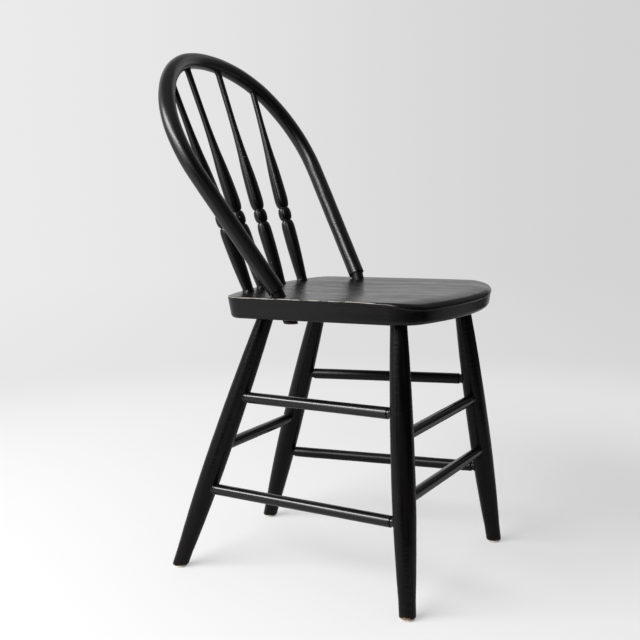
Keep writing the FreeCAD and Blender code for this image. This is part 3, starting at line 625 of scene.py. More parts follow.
def make_spindle(kind, side, seed):
    """Rings close together over the neck, ball and neck, with beads of paint at seat and bow."""
    foot_x, foot_y = SPINDLE_FOOT[kind]
    foot = np.array([SIDES[side] * foot_x + FOOT_OFF[kind], foot_y, SEAT_TOP])
    top = spindle_top(kind, side) + [TOP_OFF[kind], 0, 0]
    along, _, _, length = axes_about(foot, top)
    stops = [-SPINDLE_IN_SEAT, FOOT_RISE, VASE_AT, HIGH_NECK + NECK_HALF + 17 * MM, length - 1.2 * MM]
    coarse = spaced(stops, SPINDLE_STEP)
    fine = spaced([VASE_AT, LOW_NECK - NECK_HALF, LOW_NECK + NECK_HALF, HIGH_NECK - NECK_HALF,
                   HIGH_NECK + NECK_HALF, SHOULDER_AT], FINE_STEP)
    distances = np.unique(np.round(np.concatenate([coarse, fine]), 6))
    points, grain, distance, spokes = turned_surface(
        foot, top, distances, spindle_radius, SPINDLE_COLUMNS, seed, SPINDLE_RIPPLE)
    above_seat = points[..., 2] - SEAT_TOP - slope_lift(foot_y)
    seat_bead = PAINT_BEAD * bump_at(np.clip(above_seat, 0, None), 0, SEAT_BEAD_REACH)
    from_bow = length - BOW_RADIUS - distance
    bow_bead = PAINT_BEAD * bump_at(np.clip(from_bow, 0, None), 0, BOW_BEAD_REACH)
    points = points + (seat_bead * (distance > -2 * MM) + bow_bead)[..., None] * spokes
    crests = ((LOW_NECK + HIGH_NECK) / 2, VASE_AT + CREST_IN, SHOULDER_AT - CREST_IN)
    wear = CREST_WEAR * sum(bump_at(distance, crest, CREST_WORN) for crest in crests)
    name = "spindle_%s_%s" % (kind, side)
    return ring_piece(name + "_turned", points, grain, wear, [name],
                      foot + along * distances[0], foot + along * distances[-1])


spindles = [make_spindle(kind, side, seed) for seed, (kind, side) in enumerate(
    [(kind, side) for kind in SPINDLE_FOOT for side in SIDES], start=91)]
print("spindles:", [piece.name for piece in spindles])

# %% [markdown]
# ## The seat
#
# The seat is a plank sawn to a D-like outline: a bowed front, straight sides, a nearly straight
# back and rounded corners. Its sides slope in going down. The top is dished a little and the front
# edge rolls over. The surface is a stack of outlines: from the middle of the underside outwards, up
# the side and back over the top. Near the edge an outline is moved in square to itself, which keeps
# the arris crisp; further in it shrinks towards the middle.

# %% Outline of the seat
FRONT_HALF, REAR_HALF = 162.25 * MM, 159.75 * MM
FRONT_Y, REAR_Y = -248.2 * MM, 120.3 * MM
FRONT_CURVE, REAR_CURVE = 346 * MM, 540 * MM
FRONT_CORNER, REAR_CORNER = 52 * MM, 30 * MM


def arc_points(centre, radius, first, last, count):
    """Points of an arc: centre + radius x (cos angle, sin angle), without the last."""
    angle = np.linspace(first, last, count, endpoint=False)
    return np.stack([centre[0] + radius * np.cos(angle), centre[1] + radius * np.sin(angle)], -1)


def seat_outline(count):
    """Arcs that touch one another, mirrored, then walked round at even steps."""
    front_centre = FRONT_Y + FRONT_CURVE
    rear_centre = REAR_Y - REAR_CURVE
    front_x, rear_x = FRONT_HALF - FRONT_CORNER, REAR_HALF - REAR_CORNER
    front_y = front_centre - math.sqrt((FRONT_CURVE - FRONT_CORNER) ** 2 - front_x ** 2)
    rear_y = rear_centre + math.sqrt((REAR_CURVE - REAR_CORNER) ** 2 - rear_x ** 2)
    run, shift = rear_y - front_y, front_x - rear_x
    side_turn = math.atan2(shift, run) + math.asin((FRONT_CORNER - REAR_CORNER) / math.hypot(run, shift))
    front_turn = math.atan2(front_y - front_centre, front_x)
    rear_turn = math.atan2(rear_y - rear_centre, rear_x)
    left = np.concatenate([
        arc_points((0, front_centre), FRONT_CURVE, -math.pi / 2, front_turn, 200),
        arc_points((front_x, front_y), FRONT_CORNER, front_turn, side_turn, 200),
        arc_points((rear_x, rear_y), REAR_CORNER, side_turn, rear_turn, 200),
        arc_points((0, rear_centre), REAR_CURVE, rear_turn, math.pi / 2, 200)])
    whole = np.concatenate([left, left[::-1] * [-1, 1]])
    closed = np.concatenate([whole, whole[:1]])
    travelled = np.concatenate([[0], np.cumsum(np.linalg.norm(np.diff(closed, axis=0), axis=1))])
    steps = np.linspace(0, travelled[-1], count, endpoint=False)
    even = np.stack([np.interp(steps, travelled, closed[:, axis]) for axis in (0, 1)], -1)
    ahead_of = np.roll(even, -3, axis=0) - np.roll(even, 3, axis=0)
    ahead_of = ahead_of / np.linalg.norm(ahead_of, axis=1)[:, None]
    inward = np.stack([-ahead_of[:, 1], ahead_of[:, 0]], -1)
    return even, inward


# %% [markdown]
# The top's height is a formula of the place on it: a round dish whose rim eases out, and a roll
# that starts at a circle a little smaller than the front edge and falls away as an arc.

# %% Height of the seat's top
DISH_MIDDLE, DISH_REACH, DISH_DEPTH = -32.2 * MM, 140 * MM, 4 * MM
ROLL_WIDTH, ROLL_DROP = 32 * MM, 6 * MM


def top_drop(place):
    """How far the top lies below the plank's highest level at each (x, y)."""
    dish_share = np.hypot(place[..., 0] * 0.95, place[..., 1] - DISH_MIDDLE) / DISH_REACH
    dish = DISH_DEPTH * (1 - np.clip(dish_share, 0, 1) ** 2) ** 2
    from_front = np.hypot(place[..., 0], place[..., 1] - (FRONT_Y + FRONT_CURVE))
    over = np.clip(from_front - (FRONT_CURVE - ROLL_WIDTH), 0, None)
    circle = (ROLL_WIDTH ** 2 + ROLL_DROP ** 2) / (2 * ROLL_DROP)
    return dish + circle - np.sqrt(circle ** 2 - over ** 2)


# %% Tilt and rows of the seat
SIDE_SLOPE = math.tan(math.radians(9))
LOWER_ROUND = 5 * MM
RIM_BAND, HAND_PLANED = 34 * MM, 0.12 * MM
UNDER_ROWS, ROUND_ROWS, WALL_ROWS, ARRIS_ROWS, RIM_ROWS, TOP_ROWS = 24, 8, 16, 11, 24, 62


def tilted(points):
    """Turn points about a cross axis at the seat's top, so that the back comes down."""
    y, rise = points[..., 1], points[..., 2] - SEAT_TOP
    return np.stack([points[..., 0], y * math.cos(SEAT_SLOPE) + rise * math.sin(SEAT_SLOPE),
                     SEAT_TOP + rise * math.cos(SEAT_SLOPE) - y * math.sin(SEAT_SLOPE)], -1)


def seat_rows(outline, inward, middle, arris):
    """Outlines from the middle of the underside: out, up the side, over the arris and back in."""
    turn, edge_drop = around(len(outline)), top_drop(outline)

    def at(inset, depth):
        """The outline moved in by `inset`, at a depth below the top's highest level."""
        place = outline + inward * np.reshape(inset, (-1, 1))
        return np.concatenate([place, np.reshape(SEAT_TOP - depth + 0 * turn, (-1, 1))], -1)

    def on_top(place):
        return np.concatenate([place, (SEAT_TOP - top_drop(place))[:, None]], -1)

    low_inset = SEAT_THICK * SIDE_SLOPE
    under = at(low_inset + LOWER_ROUND, SEAT_THICK)
    rows = [np.concatenate([middle + (under[:, :2] - middle) * share, under[:, 2:]], -1)
            for share in np.linspace(0.04, 0.97, UNDER_ROWS)]
    for angle in np.linspace(0, math.pi / 2, ROUND_ROWS):
        inset = LOWER_ROUND * (1 - math.sin(angle) - SIDE_SLOPE * (1 - math.cos(angle)))
        rows.append(at(low_inset + inset, SEAT_THICK - LOWER_ROUND * (1 - math.cos(angle))))
    wall_top, wall_low = edge_drop + arris, SEAT_THICK - LOWER_ROUND
    for share in np.linspace(0, 1, WALL_ROWS)[1:]:
        depth = wall_low + (wall_top - wall_low) * share
        planed = HAND_PLANED * unevenness(6, turn, 0.4 * depth, 0.3) * math.sin(math.pi * share)
        rows.append(at(depth * SIDE_SLOPE + planed, depth))
    for angle in np.linspace(0, math.pi / 2, ARRIS_ROWS)[1:]:
        inset = edge_drop * SIDE_SLOPE + arris * (1 - math.cos(angle))
        drop = top_drop(outline + inward * inset[:, None])
        rows.append(at(inset, drop + arris * (1 - math.sin(angle))))
    first = edge_drop * SIDE_SLOPE + arris
    for share in np.linspace(0, 1, RIM_ROWS)[1:]:
        inset = first + (RIM_BAND - first) * share ** 1.2
        rows.append(on_top(outline + inward * inset[:, None]))
    inner = rows[-1][:, :2]
    rows += [on_top(middle + (inner - middle) * share) for share in np.linspace(1, 0.03, TOP_ROWS)[1:]]
    return np.array(rows)


# %% [markdown]
# The arris is crisp at the sides and the back and grows into a soft roll towards the front. Rubbing
# has made it wider in some places than in others and has taken the paint off it, more on the
# sitter's right, where the pale worn line also stands in for part of the arris's highlight: worn
# paint and a painted highlight. Hand planing left the top in gentle waves.

# %% Make the seat
COLUMNS = 600
ARRIS, FRONT_ARRIS = 1.5 * MM, 7 * MM
FRONT_FROM, FRONT_TO = 115 * MM, 225 * MM
WAVED_ROWS, WAVE_HIGH, WAVES_ACROSS, WAVES_ALONG = TOP_ROWS - 2, 0.1 * MM, 61, 47
# Worn paint on the arris, heavier on the sitter's right, and partly a painted highlight line.
EDGE_WEAR_AND_GLINT, RIGHT_WEAR_AND_GLINT_MORE, FRONT_WEAR_LESS = 0.86, 0.24, 0.65
EDGE_WORN, RIM_WORN = 1.1 * MM, 3.5 * MM


def seat_wear_and_glint(points, outline, inward, arris, towards_front):
    """A bell across the arris, less towards the front, where the edge is a soft roll; worn paint that also
    paints part of the arris's highlight.
    """
    edge_height = SEAT_TOP - top_drop(outline) - 0.4 * arris
    from_edge = np.abs(np.einsum("ijk,jk->ij", points[..., :2] - outline, inward))
    wear = bump_at(points[..., 2], edge_height[None, :], EDGE_WORN) * bump_at(from_edge, 0, RIM_WORN)
    by_side = EDGE_WEAR_AND_GLINT + RIGHT_WEAR_AND_GLINT_MORE * (points[..., 0] < 0)
    return wear * by_side * (1 - FRONT_WEAR_LESS * towards_front)


def make_seat():
    """The rows, then the top raised by a wave across times a wave along, each a sine of its place."""
    outline, inward = seat_outline(COLUMNS)
    middle, turn = outline.mean(0), around(COLUMNS)
    rubbed = 1 + 0.3 * unevenness(5, turn * 3, 0.0, 1.0) + 0.18 * np.cos(23 * turn + 1.0)
    towards_front = smooth_step(FRONT_FROM, FRONT_TO, -outline[:, 1])
    arris = ARRIS * rubbed + (FRONT_ARRIS - ARRIS) * towards_front
    points = seat_rows(outline, inward, middle, arris)
    waves = (WAVE_HIGH * np.sin(points[..., 0] * WAVES_ACROSS + 2)
             * np.sin(points[..., 1] * WAVES_ALONG + 1))
    points[-WAVED_ROWS:, :, 2] += waves[-WAVED_ROWS:]
    wear = seat_wear_and_glint(points, outline, inward, arris, towards_front)
    grain = np.stack([points[..., 0], points[..., 2], points[..., 1]], -1)
    poles = np.array([[*middle, SEAT_UNDERSIDE], [*middle, SEAT_TOP - float(top_drop(middle))]])
    low_pole, top_pole = tilted(poles)
    return ring_piece("seat_plank", tilted(points), grain, wear, ["seat"],
                      low_pole, top_pole)


seat = make_seat()
print("seat faces:", len(seat.data.polygons))

# %% [markdown]
# ## Glides
#
# A pale nylon disc is nailed under each foot. Years of sliding have rounded its rim, so it is
# turned again here with a soft edge; the nails keep their solids.

# %% Make the four glides
GLIDE_RADIUS, GLIDE_ROUND = 10.5 * MM, 1.0 * MM
GLIDE_HOLE, GLIDE_HOLE_DEPTH = 3.75 * MM, 1.6 * MM
GLIDE_COLUMNS, GLIDE_RIPPLE, GLIDE_WORN = 64, 0.08 * MM, 1 * MM


def make_glide(end, side, seed):
    """Rings from the hole's floor, down its wall, over the worn sole and up the rim to the foot."""
    name = "glide_%s_%s" % (end, side)
    low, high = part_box(name)
    centre = np.array([(low.x + high.x) / 2, (low.y + high.y) / 2])
    turn = around(GLIDE_COLUMNS)
    profile = [(GLIDE_HOLE * 0.5, GLIDE_HOLE_DEPTH), (GLIDE_HOLE, GLIDE_HOLE_DEPTH),
               (GLIDE_HOLE, 0.3 * MM), (GLIDE_HOLE + 0.4 * MM, 0.0)]
    profile += [(radius, 0.0) for radius in np.linspace(5 * MM, GLIDE_RADIUS - GLIDE_ROUND, 6)]
    profile += [(GLIDE_RADIUS - GLIDE_ROUND * (1 - math.sin(angle)), GLIDE_ROUND * (1 - math.cos(angle)))
                for angle in np.linspace(0, math.pi / 2, 7)[1:]]
    profile += [(GLIDE_RADIUS, 2.2 * MM), (GLIDE_RADIUS - 0.25 * MM, GLIDE_TOP),
                (GLIDE_RADIUS * 0.5, GLIDE_TOP)]
    radius, height = np.array(profile).T
    radius = radius[:, None] + GLIDE_RIPPLE * np.cos(3 * turn + seed) * (radius[:, None] > 8 * MM)
    points = np.stack([centre[0] + radius * np.cos(turn), centre[1] + radius * np.sin(turn),
                       np.repeat(height[:, None], GLIDE_COLUMNS, axis=1)], -1)
    wear = bump_at(points[..., 2], 0, GLIDE_WORN)
    return ring_piece(name + "_disc", points, points.copy(), wear, [name],
                      np.array([*centre, GLIDE_HOLE_DEPTH]), np.array([*centre, GLIDE_TOP]))


glides = [make_glide(end, side, seed) for seed, (end, side) in enumerate(CORNERS)]
print("glides:", len(glides))

# %% [markdown]
# ## Building materials
#
# A few small helpers keep the node trees short to read. The first ones fill sockets, with a value or
# a link, and make nodes, groups and materials; the others are the sums, patches and places that
# every finish uses.

# %% Helpers for nodes, groups and materials
def feed(tree, socket, value):
    """Link a socket to another node's output, or set its own value."""
    if isinstance(value, bpy.types.NodeSocket):
        tree.links.new(value, socket)
    else:
        socket.default_value = value


def add_node(tree, kind, inputs=None, **settings):
    """Add a node; `settings` are its own properties, `inputs` maps a socket to a value or a link."""
    made = tree.nodes.new(kind)
    for key, value in settings.items():
        setattr(made, key, value)
    for name, value in (inputs or {}).items():
        feed(tree, made.inputs[name], value)
    return made


def new_group(name, inputs, outputs):
    """A shader node group; each input is (name, kind, value) and each output (name, kind)."""
    tree = bpy.data.node_groups.new(name, "ShaderNodeTree")
    for label, kind, value in inputs:
        socket = tree.interface.new_socket(label, in_out="INPUT", socket_type="NodeSocket" + kind)
        if value is not None:
            socket.default_value = value
    for label, kind in outputs:
        tree.interface.new_socket(label, in_out="OUTPUT", socket_type="NodeSocket" + kind)
    return tree, tree.nodes.new("NodeGroupInput").outputs, tree.nodes.new("NodeGroupOutput").inputs


def use_group(tree, group, inputs):
    """Place a node group with these inputs and give its outputs."""
    return add_node(tree, "ShaderNodeGroup", inputs, node_tree=group).outputs


def new_material(name):
    """A material, its node tree and the Principled shader in it."""
    material = bpy.data.materials.new(name)
    material.use_nodes = True
    tree = material.node_tree
    return material, tree, tree.nodes["Principled BSDF"]


def fill_shader(tree, shader, inputs):
    """Set or link the shader's own sockets by name."""
    for name, value in inputs.items():
        feed(tree, shader.inputs[name], value)


# %% Helpers for sums, colours, patches and places
def math_node(tree, operation, first, second):
    return add_node(tree, "ShaderNodeMath", {0: first, 1: second}, operation=operation).outputs[0]


def times(tree, first, second):
    return math_node(tree, "MULTIPLY", first, second)


def plus(tree, first, second):
    return math_node(tree, "ADD", first, second)


def range_node(tree, value, low, high, to_low=0.0, to_high=1.0):
    """Stretch the part of a value between low and high over another range, and clamp it."""
    return add_node(tree, "ShaderNodeMapRange", {
        "Value": value, "From Min": low, "From Max": high, "To Min": to_low, "To Max": to_high},
        interpolation_type="SMOOTHSTEP").outputs["Result"]


def mix_colour(tree, factor, first, second):
    """first x (1 - factor) + second x factor."""
    return add_node(tree, "ShaderNodeMix", {0: factor, 6: first, 7: second}, data_type="RGBA").outputs[2]


def noise(tree, place, scale, detail=2.0, roughness=0.5):
    """Smooth random patches, about `scale` of them to a metre, with most values near a half."""
    return add_node(tree, "ShaderNodeTexNoise", {
        "Vector": place, "Scale": scale, "Detail": detail, "Roughness": roughness}).outputs["Fac"]


def stretched(tree, place, x, y, z):
    """A place with each of its three numbers multiplied by a factor of its own."""
    factors = add_node(tree, "ShaderNodeCombineXYZ", {"X": x, "Y": y, "Z": z}).outputs[0]
    return add_node(tree, "ShaderNodeVectorMath", {0: place, 1: factors}, operation="MULTIPLY").outputs[0]


def own_place(tree):
    """The point's place in the piece's own coordinates, in metres."""
    return add_node(tree, "ShaderNodeTexCoord").outputs["Object"]


def grain_of(tree):
    return add_node(tree, "ShaderNodeAttribute", attribute_name="grain").outputs["Vector"]


def wear_of(tree):
    return add_node(tree, "ShaderNodeAttribute", attribute_name="wear").outputs["Fac"]


def raise_surface(tree, shader, height, size):
    """Tilt the shader's normal as if the surface stood up by height x size."""
    bump = add_node(tree, "ShaderNodeBump", {"Height": height, "Distance": size})
    tree.links.new(bump.outputs["Normal"], shader.inputs["Normal"])


# %% [markdown]
# ### Brush marks
#
# Paint put on with a brush dries in fine ridges that run with the stroke. A noise stretched along
# the grain gives the ridges, and a coarser one the places where the coat is thicker.

# %% Group: brush marks
def build_brush_marks():
    """Height = 0.6 x ridges + 0.9 x coat; Streak goes from 0 to 1 where the coat gets thick."""
    tree, given, out = new_group(
        "brush_marks",
        [("Grain", "Vector", None), ("Ridges", "Float", 380.0), ("Stretch", "Float", 0.05)],
        [("Height", "Float"), ("Streak", "Float")])
    drawn = stretched(tree, given["Grain"], 1.0, 1.0, given["Stretch"])
    ridges = noise(tree, drawn, given["Ridges"], detail=1.0)
    coat = noise(tree, drawn, times(tree, given["Ridges"], 0.3))
    feed(tree, out["Height"], plus(tree, times(tree, ridges, 0.6), times(tree, coat, 0.9)))
    feed(tree, out["Streak"], range_node(tree, coat, 0.35, 0.65))
    return tree


brush_marks = build_brush_marks()

# %% [markdown]
# ### Lathe marks
#
# The turner's gouge leaves shallow rings that paint never quite fills, four or five millimetres
# apart on a leg. A noise that is squeezed round the axis changes slowly that way and quickly along
# it, so it gives rings that are uneven and fade in and out, which a regular wave would not.

# %% Group: lathe marks
def build_lathe_marks():
    """Height = rings x patches, where the patches go from 0.45 to 1."""
    tree, given, out = new_group(
        "lathe_marks",
        [("Grain", "Vector", None), ("Rings", "Float", 230.0), ("Around", "Float", 0.16)],
        [("Height", "Float")])
    round_axis = stretched(tree, given["Grain"], given["Around"], given["Around"], 1.0)
    rings = noise(tree, round_axis, given["Rings"], detail=1.5, roughness=0.45)
    patches = noise(tree, given["Grain"], 22.0, detail=1.0)
    feed(tree, out["Height"], times(tree, rings, range_node(tree, patches, 0.3, 0.6, 0.45, 1.0)))
    return tree


lathe_marks = build_lathe_marks()

# %% [markdown]
# ### Worn paint
#
# Wear starts where the `wear` attribute is high, but never evenly: a patchy noise decides which
# exposed places have lost their paint. The rim of a chip is where the paint is thin, so the group
# also puts out a wider, softer mask for rubbed paint. A light knock only bares the red-brown first
# coat; where wear is heavy the chip goes deeper, and that is the third mask.

# %% Group: worn paint
def build_worn_paint():
    """Level = patches + wear x amount / 2, cut high for chips; depth = slow patches + wear / 2."""
    tree, given, out = new_group(
        "worn_paint",
        [("Place", "Vector", None), ("Wear", "Float", 0.0), ("Amount", "Float", 0.5),
         ("Size", "Float", 160.0), ("Draw Out", "Float", 1.0)],
        [("Chipped", "Float"), ("Rubbed", "Float"), ("Deep", "Float")])
    drawn = stretched(tree, given["Place"], 1.0, given["Draw Out"], 1.0)
    patches = noise(tree, drawn, given["Size"], detail=5.0, roughness=0.62)
    exposed = times(tree, given["Wear"], given["Amount"])
    level_worn = plus(tree, patches, times(tree, exposed, 0.5))
    depth = plus(tree, noise(tree, given["Place"], 11.0), times(tree, given["Wear"], 0.5))
    feed(tree, out["Chipped"], range_node(tree, level_worn, 0.86, 0.9))
    feed(tree, out["Rubbed"], range_node(tree, level_worn, 0.66, 0.9))
    feed(tree, out["Deep"], range_node(tree, depth, 0.70, 0.80))
    return tree


worn_paint = build_worn_paint()

# %% [markdown]
# ### Dust and specks
#
# Fine dust settles on what faces up, and a few pale specks of old splashes sit anywhere. The
# surface's own normal says what faces up; a sparse cell pattern gives the specks.

# %% Group: dust and specks
def build_dust():
    """Dust = how far the surface faces up x clouds; Speck = the middles of a share of the cells."""
    tree, given, out = new_group(
        "dust_and_specks", [("Place", "Vector", None), ("Specks", "Float", 0.03)],
        [("Dust", "Float"), ("Speck", "Float")])
    normal = add_node(tree, "ShaderNodeNewGeometry").outputs["Normal"]
    upward = add_node(tree, "ShaderNodeSeparateXYZ", {0: normal}).outputs["Z"]
    clouds = noise(tree, given["Place"], 34.0, detail=4.0)
    cells = add_node(tree, "ShaderNodeTexVoronoi", {
        "Vector": given["Place"], "Scale": 95.0, "Randomness": 1.0}).outputs
    drawn_lot = add_node(tree, "ShaderNodeSeparateColor", {0: cells["Color"]}).outputs[0]
    near_middle = range_node(tree, cells["Distance"], 0.05, 0.13, 1.0, 0.0)
    chosen = math_node(tree, "LESS_THAN", drawn_lot, given["Specks"])
    feed(tree, out["Dust"], times(tree, range_node(tree, upward, 0.2, 1.0),
                                  range_node(tree, clouds, 0.3, 0.75, 0.35, 1.0)))
    feed(tree, out["Speck"], times(tree, near_middle, chosen))
    return tree


dust_and_specks = build_dust()
print("groups:", sorted(group.name for group in bpy.data.node_groups))

# %% [markdown]
# ## Black paint
#
# The chair's paint is a glossy black enamel. It is not one colour: thin strokes are browner, dusty
# tops are greyer, and chips show a pale undercoat or the wood. The ridges and rings go into one
# bump. Turned pieces, the bow and the seat share this recipe with their own amounts. The gloss of
# an old coat is a little weaker than a new one's, which the specular level says. The stretchers on
# the left side get a shaded copy of the paint, weaker and rougher in its gloss: painted shade that
# dims their highlights.

# %% Recipe for painted wood
BLACK = (0.0012, 0.0012, 0.0014, 1)
BROWN_BLACK = (0.0038, 0.0026, 0.0024, 1)
RUBBED_BROWN = (0.04, 0.028, 0.022, 1)
DUST_GREY = (0.10, 0.098, 0.095, 1)
SPECK_PALE = (0.30, 0.29, 0.27, 1)
RED_BROWN = (0.085, 0.036, 0.026, 1)
BARE_WOOD = (0.22, 0.135, 0.085, 1)
UNDERCOAT = (0.33, 0.31, 0.28, 1)
RUBBED_SHOWS = 0.4
STREAK_DULLS, DUST_DULLS, CHIP_DULLS = 0.06, 0.06, 0.3
PAINT_RELIEF, CHIP_SINKS = 1 * MM, 0.15


def painted_wood(name, rough, gloss, wear_amount, chip_size, ridge_height, ring_height=0.0,
                 chip_colour=UNDERCOAT, dusty=0.03, specks=0.01, ridges=380.0, draw_out=1.0):
    """Black, browner in streaks and where rubbed, greyed by dust; chips bare what lies under it."""
    material, tree, shader = new_material(name)
    grain, place = grain_of(tree), own_place(tree)
    brush = use_group(tree, brush_marks, {"Grain": grain, "Ridges": ridges})
    lathe = use_group(tree, lathe_marks, {"Grain": grain})
    worn = use_group(tree, worn_paint, {"Place": place, "Wear": wear_of(tree), "Amount": wear_amount,
                                        "Size": chip_size, "Draw Out": draw_out})
    dust = use_group(tree, dust_and_specks, {"Place": place, "Specks": specks})

    colour = mix_colour(tree, brush["Streak"], BLACK, BROWN_BLACK)
    colour = mix_colour(tree, times(tree, worn["Rubbed"], RUBBED_SHOWS), colour, RUBBED_BROWN)
    colour = mix_colour(tree, times(tree, dust["Dust"], dusty), colour, DUST_GREY)
    colour = mix_colour(tree, dust["Speck"], colour, SPECK_PALE)
    bared = mix_colour(tree, worn["Deep"], RED_BROWN, chip_colour)
    colour = mix_colour(tree, worn["Chipped"], colour, bared)

    roughness = plus(tree, times(tree, brush["Streak"], STREAK_DULLS), rough)
    roughness = plus(tree, roughness, times(tree, dust["Dust"], DUST_DULLS))
    roughness = plus(tree, roughness, times(tree, worn["Chipped"], CHIP_DULLS))
    fill_shader(tree, shader, {"Base Color": colour, "Roughness": roughness, "IOR": 1.5,
                               "Specular IOR Level": gloss})

    height = plus(tree, times(tree, brush["Height"], ridge_height), times(tree, lathe["Height"], ring_height))
    height = math_node(tree, "SUBTRACT", height, times(tree, worn["Chipped"], CHIP_SINKS))
    raise_surface(tree, shader, height, PAINT_RELIEF)
    return material


# %% Paint for legs, stretchers, spindles, bow and seat
PAINTS = {
    "black_paint_leg": dict(rough=0.25, gloss=0.21, wear_amount=0.85, chip_size=150.0, ridge_height=0.01,
                            ring_height=0.36, chip_colour=BARE_WOOD, specks=0.014),
    "black_paint_stretcher": dict(rough=0.15, gloss=0.55, wear_amount=0.4, chip_size=220.0,
                                  ridge_height=0.002, ring_height=0.02),
    # A shaded copy of the stretcher paint: its weaker, rougher gloss is painted shade on the highlights.
    "shaded_paint_stretcher": dict(rough=0.30, gloss=0.30, wear_amount=0.4, chip_size=220.0,
                                 ridge_height=0.004, ring_height=0.02),
    "black_paint_spindle": dict(rough=0.25, gloss=0.36, wear_amount=0.3, chip_size=260.0,
                                ridge_height=0.002),
    "black_paint_bow": dict(rough=0.28, gloss=0.56, wear_amount=0.5, chip_size=180.0,
                            ridge_height=0.002, chip_colour=RED_BROWN),
    "black_paint_seat": dict(rough=0.22, gloss=0.36, wear_amount=0.84, chip_size=150.0,
                             ridge_height=0.009, dusty=0.10, ridges=200.0, draw_out=0.3),
}
paints = {name: painted_wood(name, **amounts) for name, amounts in PAINTS.items()}


def dress(pieces, material):
    """Give each piece this one material."""
    for piece in pieces:
        piece.data.materials.clear()
        piece.data.materials.append(material)


dress(legs, paints["black_paint_leg"])
dress(stretchers, paints["black_paint_stretcher"])
# The left side's stretchers take the shaded copy: painted shade on their highlights.
dress([piece for piece in stretchers if "_left" in piece.name], paints["shaded_paint_stretcher"])
dress(spindles, paints["black_paint_spindle"])
dress([bow], paints["black_paint_bow"])
dress([seat], paints["black_paint_seat"])
print("paints:", sorted(paints))

# %% [markdown]
# ## Stained tenon, nylon and steel
#
# The bow's tenons are stained red-brown under a thin coat of black, which is whole along the tenon
# and gone at its cut end. The glides are milky nylon, scratched and grimy on the sole. The nails
# are plain steel.

# %% Stained wood of the tenons
STAIN_COAT, STAIN_THIN = (0.002, 0.0016, 0.0015, 1), (0.008, 0.004, 0.0034, 1)
STAIN_BARE = (0.11, 0.035, 0.024, 1)


def stained_wood():
    """Fine dark streaks along the fibres; the bare stain comes in where wear is above 0.3."""
    material, tree, shader = new_material("red_brown_stain")
    brush = use_group(tree, brush_marks, {"Grain": grain_of(tree), "Ridges": 500.0, "Stretch": 0.05})
    colour = mix_colour(tree, brush["Streak"], STAIN_COAT, STAIN_THIN)
    colour = mix_colour(tree, range_node(tree, wear_of(tree), 0.3, 0.9), colour, STAIN_BARE)
    fill_shader(tree, shader, {"Base Color": colour, "Roughness": 0.4, "Specular IOR Level": 0.3})
    raise_surface(tree, shader, brush["Height"], 0.12 * MM)
    return material


dress(tenons, stained_wood())

# %% Nylon of the glides
NYLON_PALE, NYLON_GRIMY = (0.78, 0.765, 0.71, 1), (0.42, 0.35, 0.27, 1)
NYLON_SOLE = (0.30, 0.27, 0.23, 1)


def nylon():
    """Patches of grime over pale nylon, greyer towards the sole, under fine crossing scratches."""
    material, tree, shader = new_material("milky_nylon")
    place = own_place(tree)
    grime = noise(tree, place, 420.0, detail=5.0)
    scratch = use_group(tree, brush_marks, {"Grain": place, "Ridges": 1800.0, "Stretch": 0.3})
    amount = times(tree, range_node(tree, grime, 0.42, 0.68), 0.5)
    colour = mix_colour(tree, amount, NYLON_PALE, NYLON_GRIMY)
    colour = mix_colour(tree, times(tree, wear_of(tree), 0.25), colour, NYLON_SOLE)
    fill_shader(tree, shader, {"Base Color": colour,
                               "Roughness": range_node(tree, grime, 0.3, 0.7, 0.35, 0.6)})
    raise_surface(tree, shader, scratch["Height"], 0.08 * MM)
    return material


dress(glides, nylon())

# %% Steel of the nails
STEEL_PLAIN, STEEL_STAINED = (0.42, 0.41, 0.40, 1), (0.12, 0.07, 0.045, 1)


def nail_steel():
    """Plain steel; its stained spots are browner, rougher and less like metal."""
    material, tree, shader = new_material("nail_steel")
    spots = range_node(tree, noise(tree, own_place(tree), 900.0, detail=4.0), 0.5, 0.7)
    fill_shader(tree, shader, {"Base Color": mix_colour(tree, spots, STEEL_PLAIN, STEEL_STAINED),
                               "Roughness": range_node(tree, spots, 0.0, 1.0, 0.35, 0.7),
                               "Metallic": range_node(tree, spots, 0.0, 1.0, 1.0, 0.2)})
    return material


dress([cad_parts["glide_nails"]], nail_steel())
print("materials:", sorted(material.name for material in bpy.data.materials))

# %% [markdown]
# ## Floor, wall and light
#
# A pale floor meets a pale round wall that stands behind every camera. Glossy black paint is a
# mirror, so what stands round the chair is most of what is seen on it. The wall only shows to the
# camera and in reflections, and neither lights nor shades the chair. Three dark sheets round the
# camera's side are seen in reflections only, as painted dark reflections: a low and a tall black
# one, and on the right one that hangs clear of the floor.

# %% Round surfaces of the stage
WALL_RADIUS, WALL_HEIGHT = 4.8, 4.4
STAGE_STEPS = 128


def stage_surface(name, profile, first_turn=0, last_turn=360):
    """A surface of revolution from (radius, height) pairs, between two headings in degrees."""
    radius, height = np.array(profile).T
    turn = np.linspace(math.radians(first_turn), math.radians(last_turn), STAGE_STEPS + 1)
    points = np.stack([radius[:, None] * np.cos(turn), radius[:, None] * np.sin(turn),
                       np.repeat(height[:, None], STAGE_STEPS + 1, axis=1)], -1)
    row, column = np.meshgrid(np.arange(len(profile) - 1), np.arange(STAGE_STEPS), indexing="ij")
    first = row * (STAGE_STEPS + 1) + column
    above = first + STAGE_STEPS + 1
    quads = np.stack([first, first + 1, above + 1, above], -1).reshape(-1, 4)
    mesh = bpy.data.meshes.new(name)
    mesh.from_pydata(points.reshape(-1, 3).tolist(), [], quads.tolist())
    mesh.polygons.foreach_set("use_smooth", np.ones(len(mesh.polygons), bool))
    made = bpy.data.objects.new(name, mesh)
    bpy.context.scene.collection.objects.link(made)
    return made


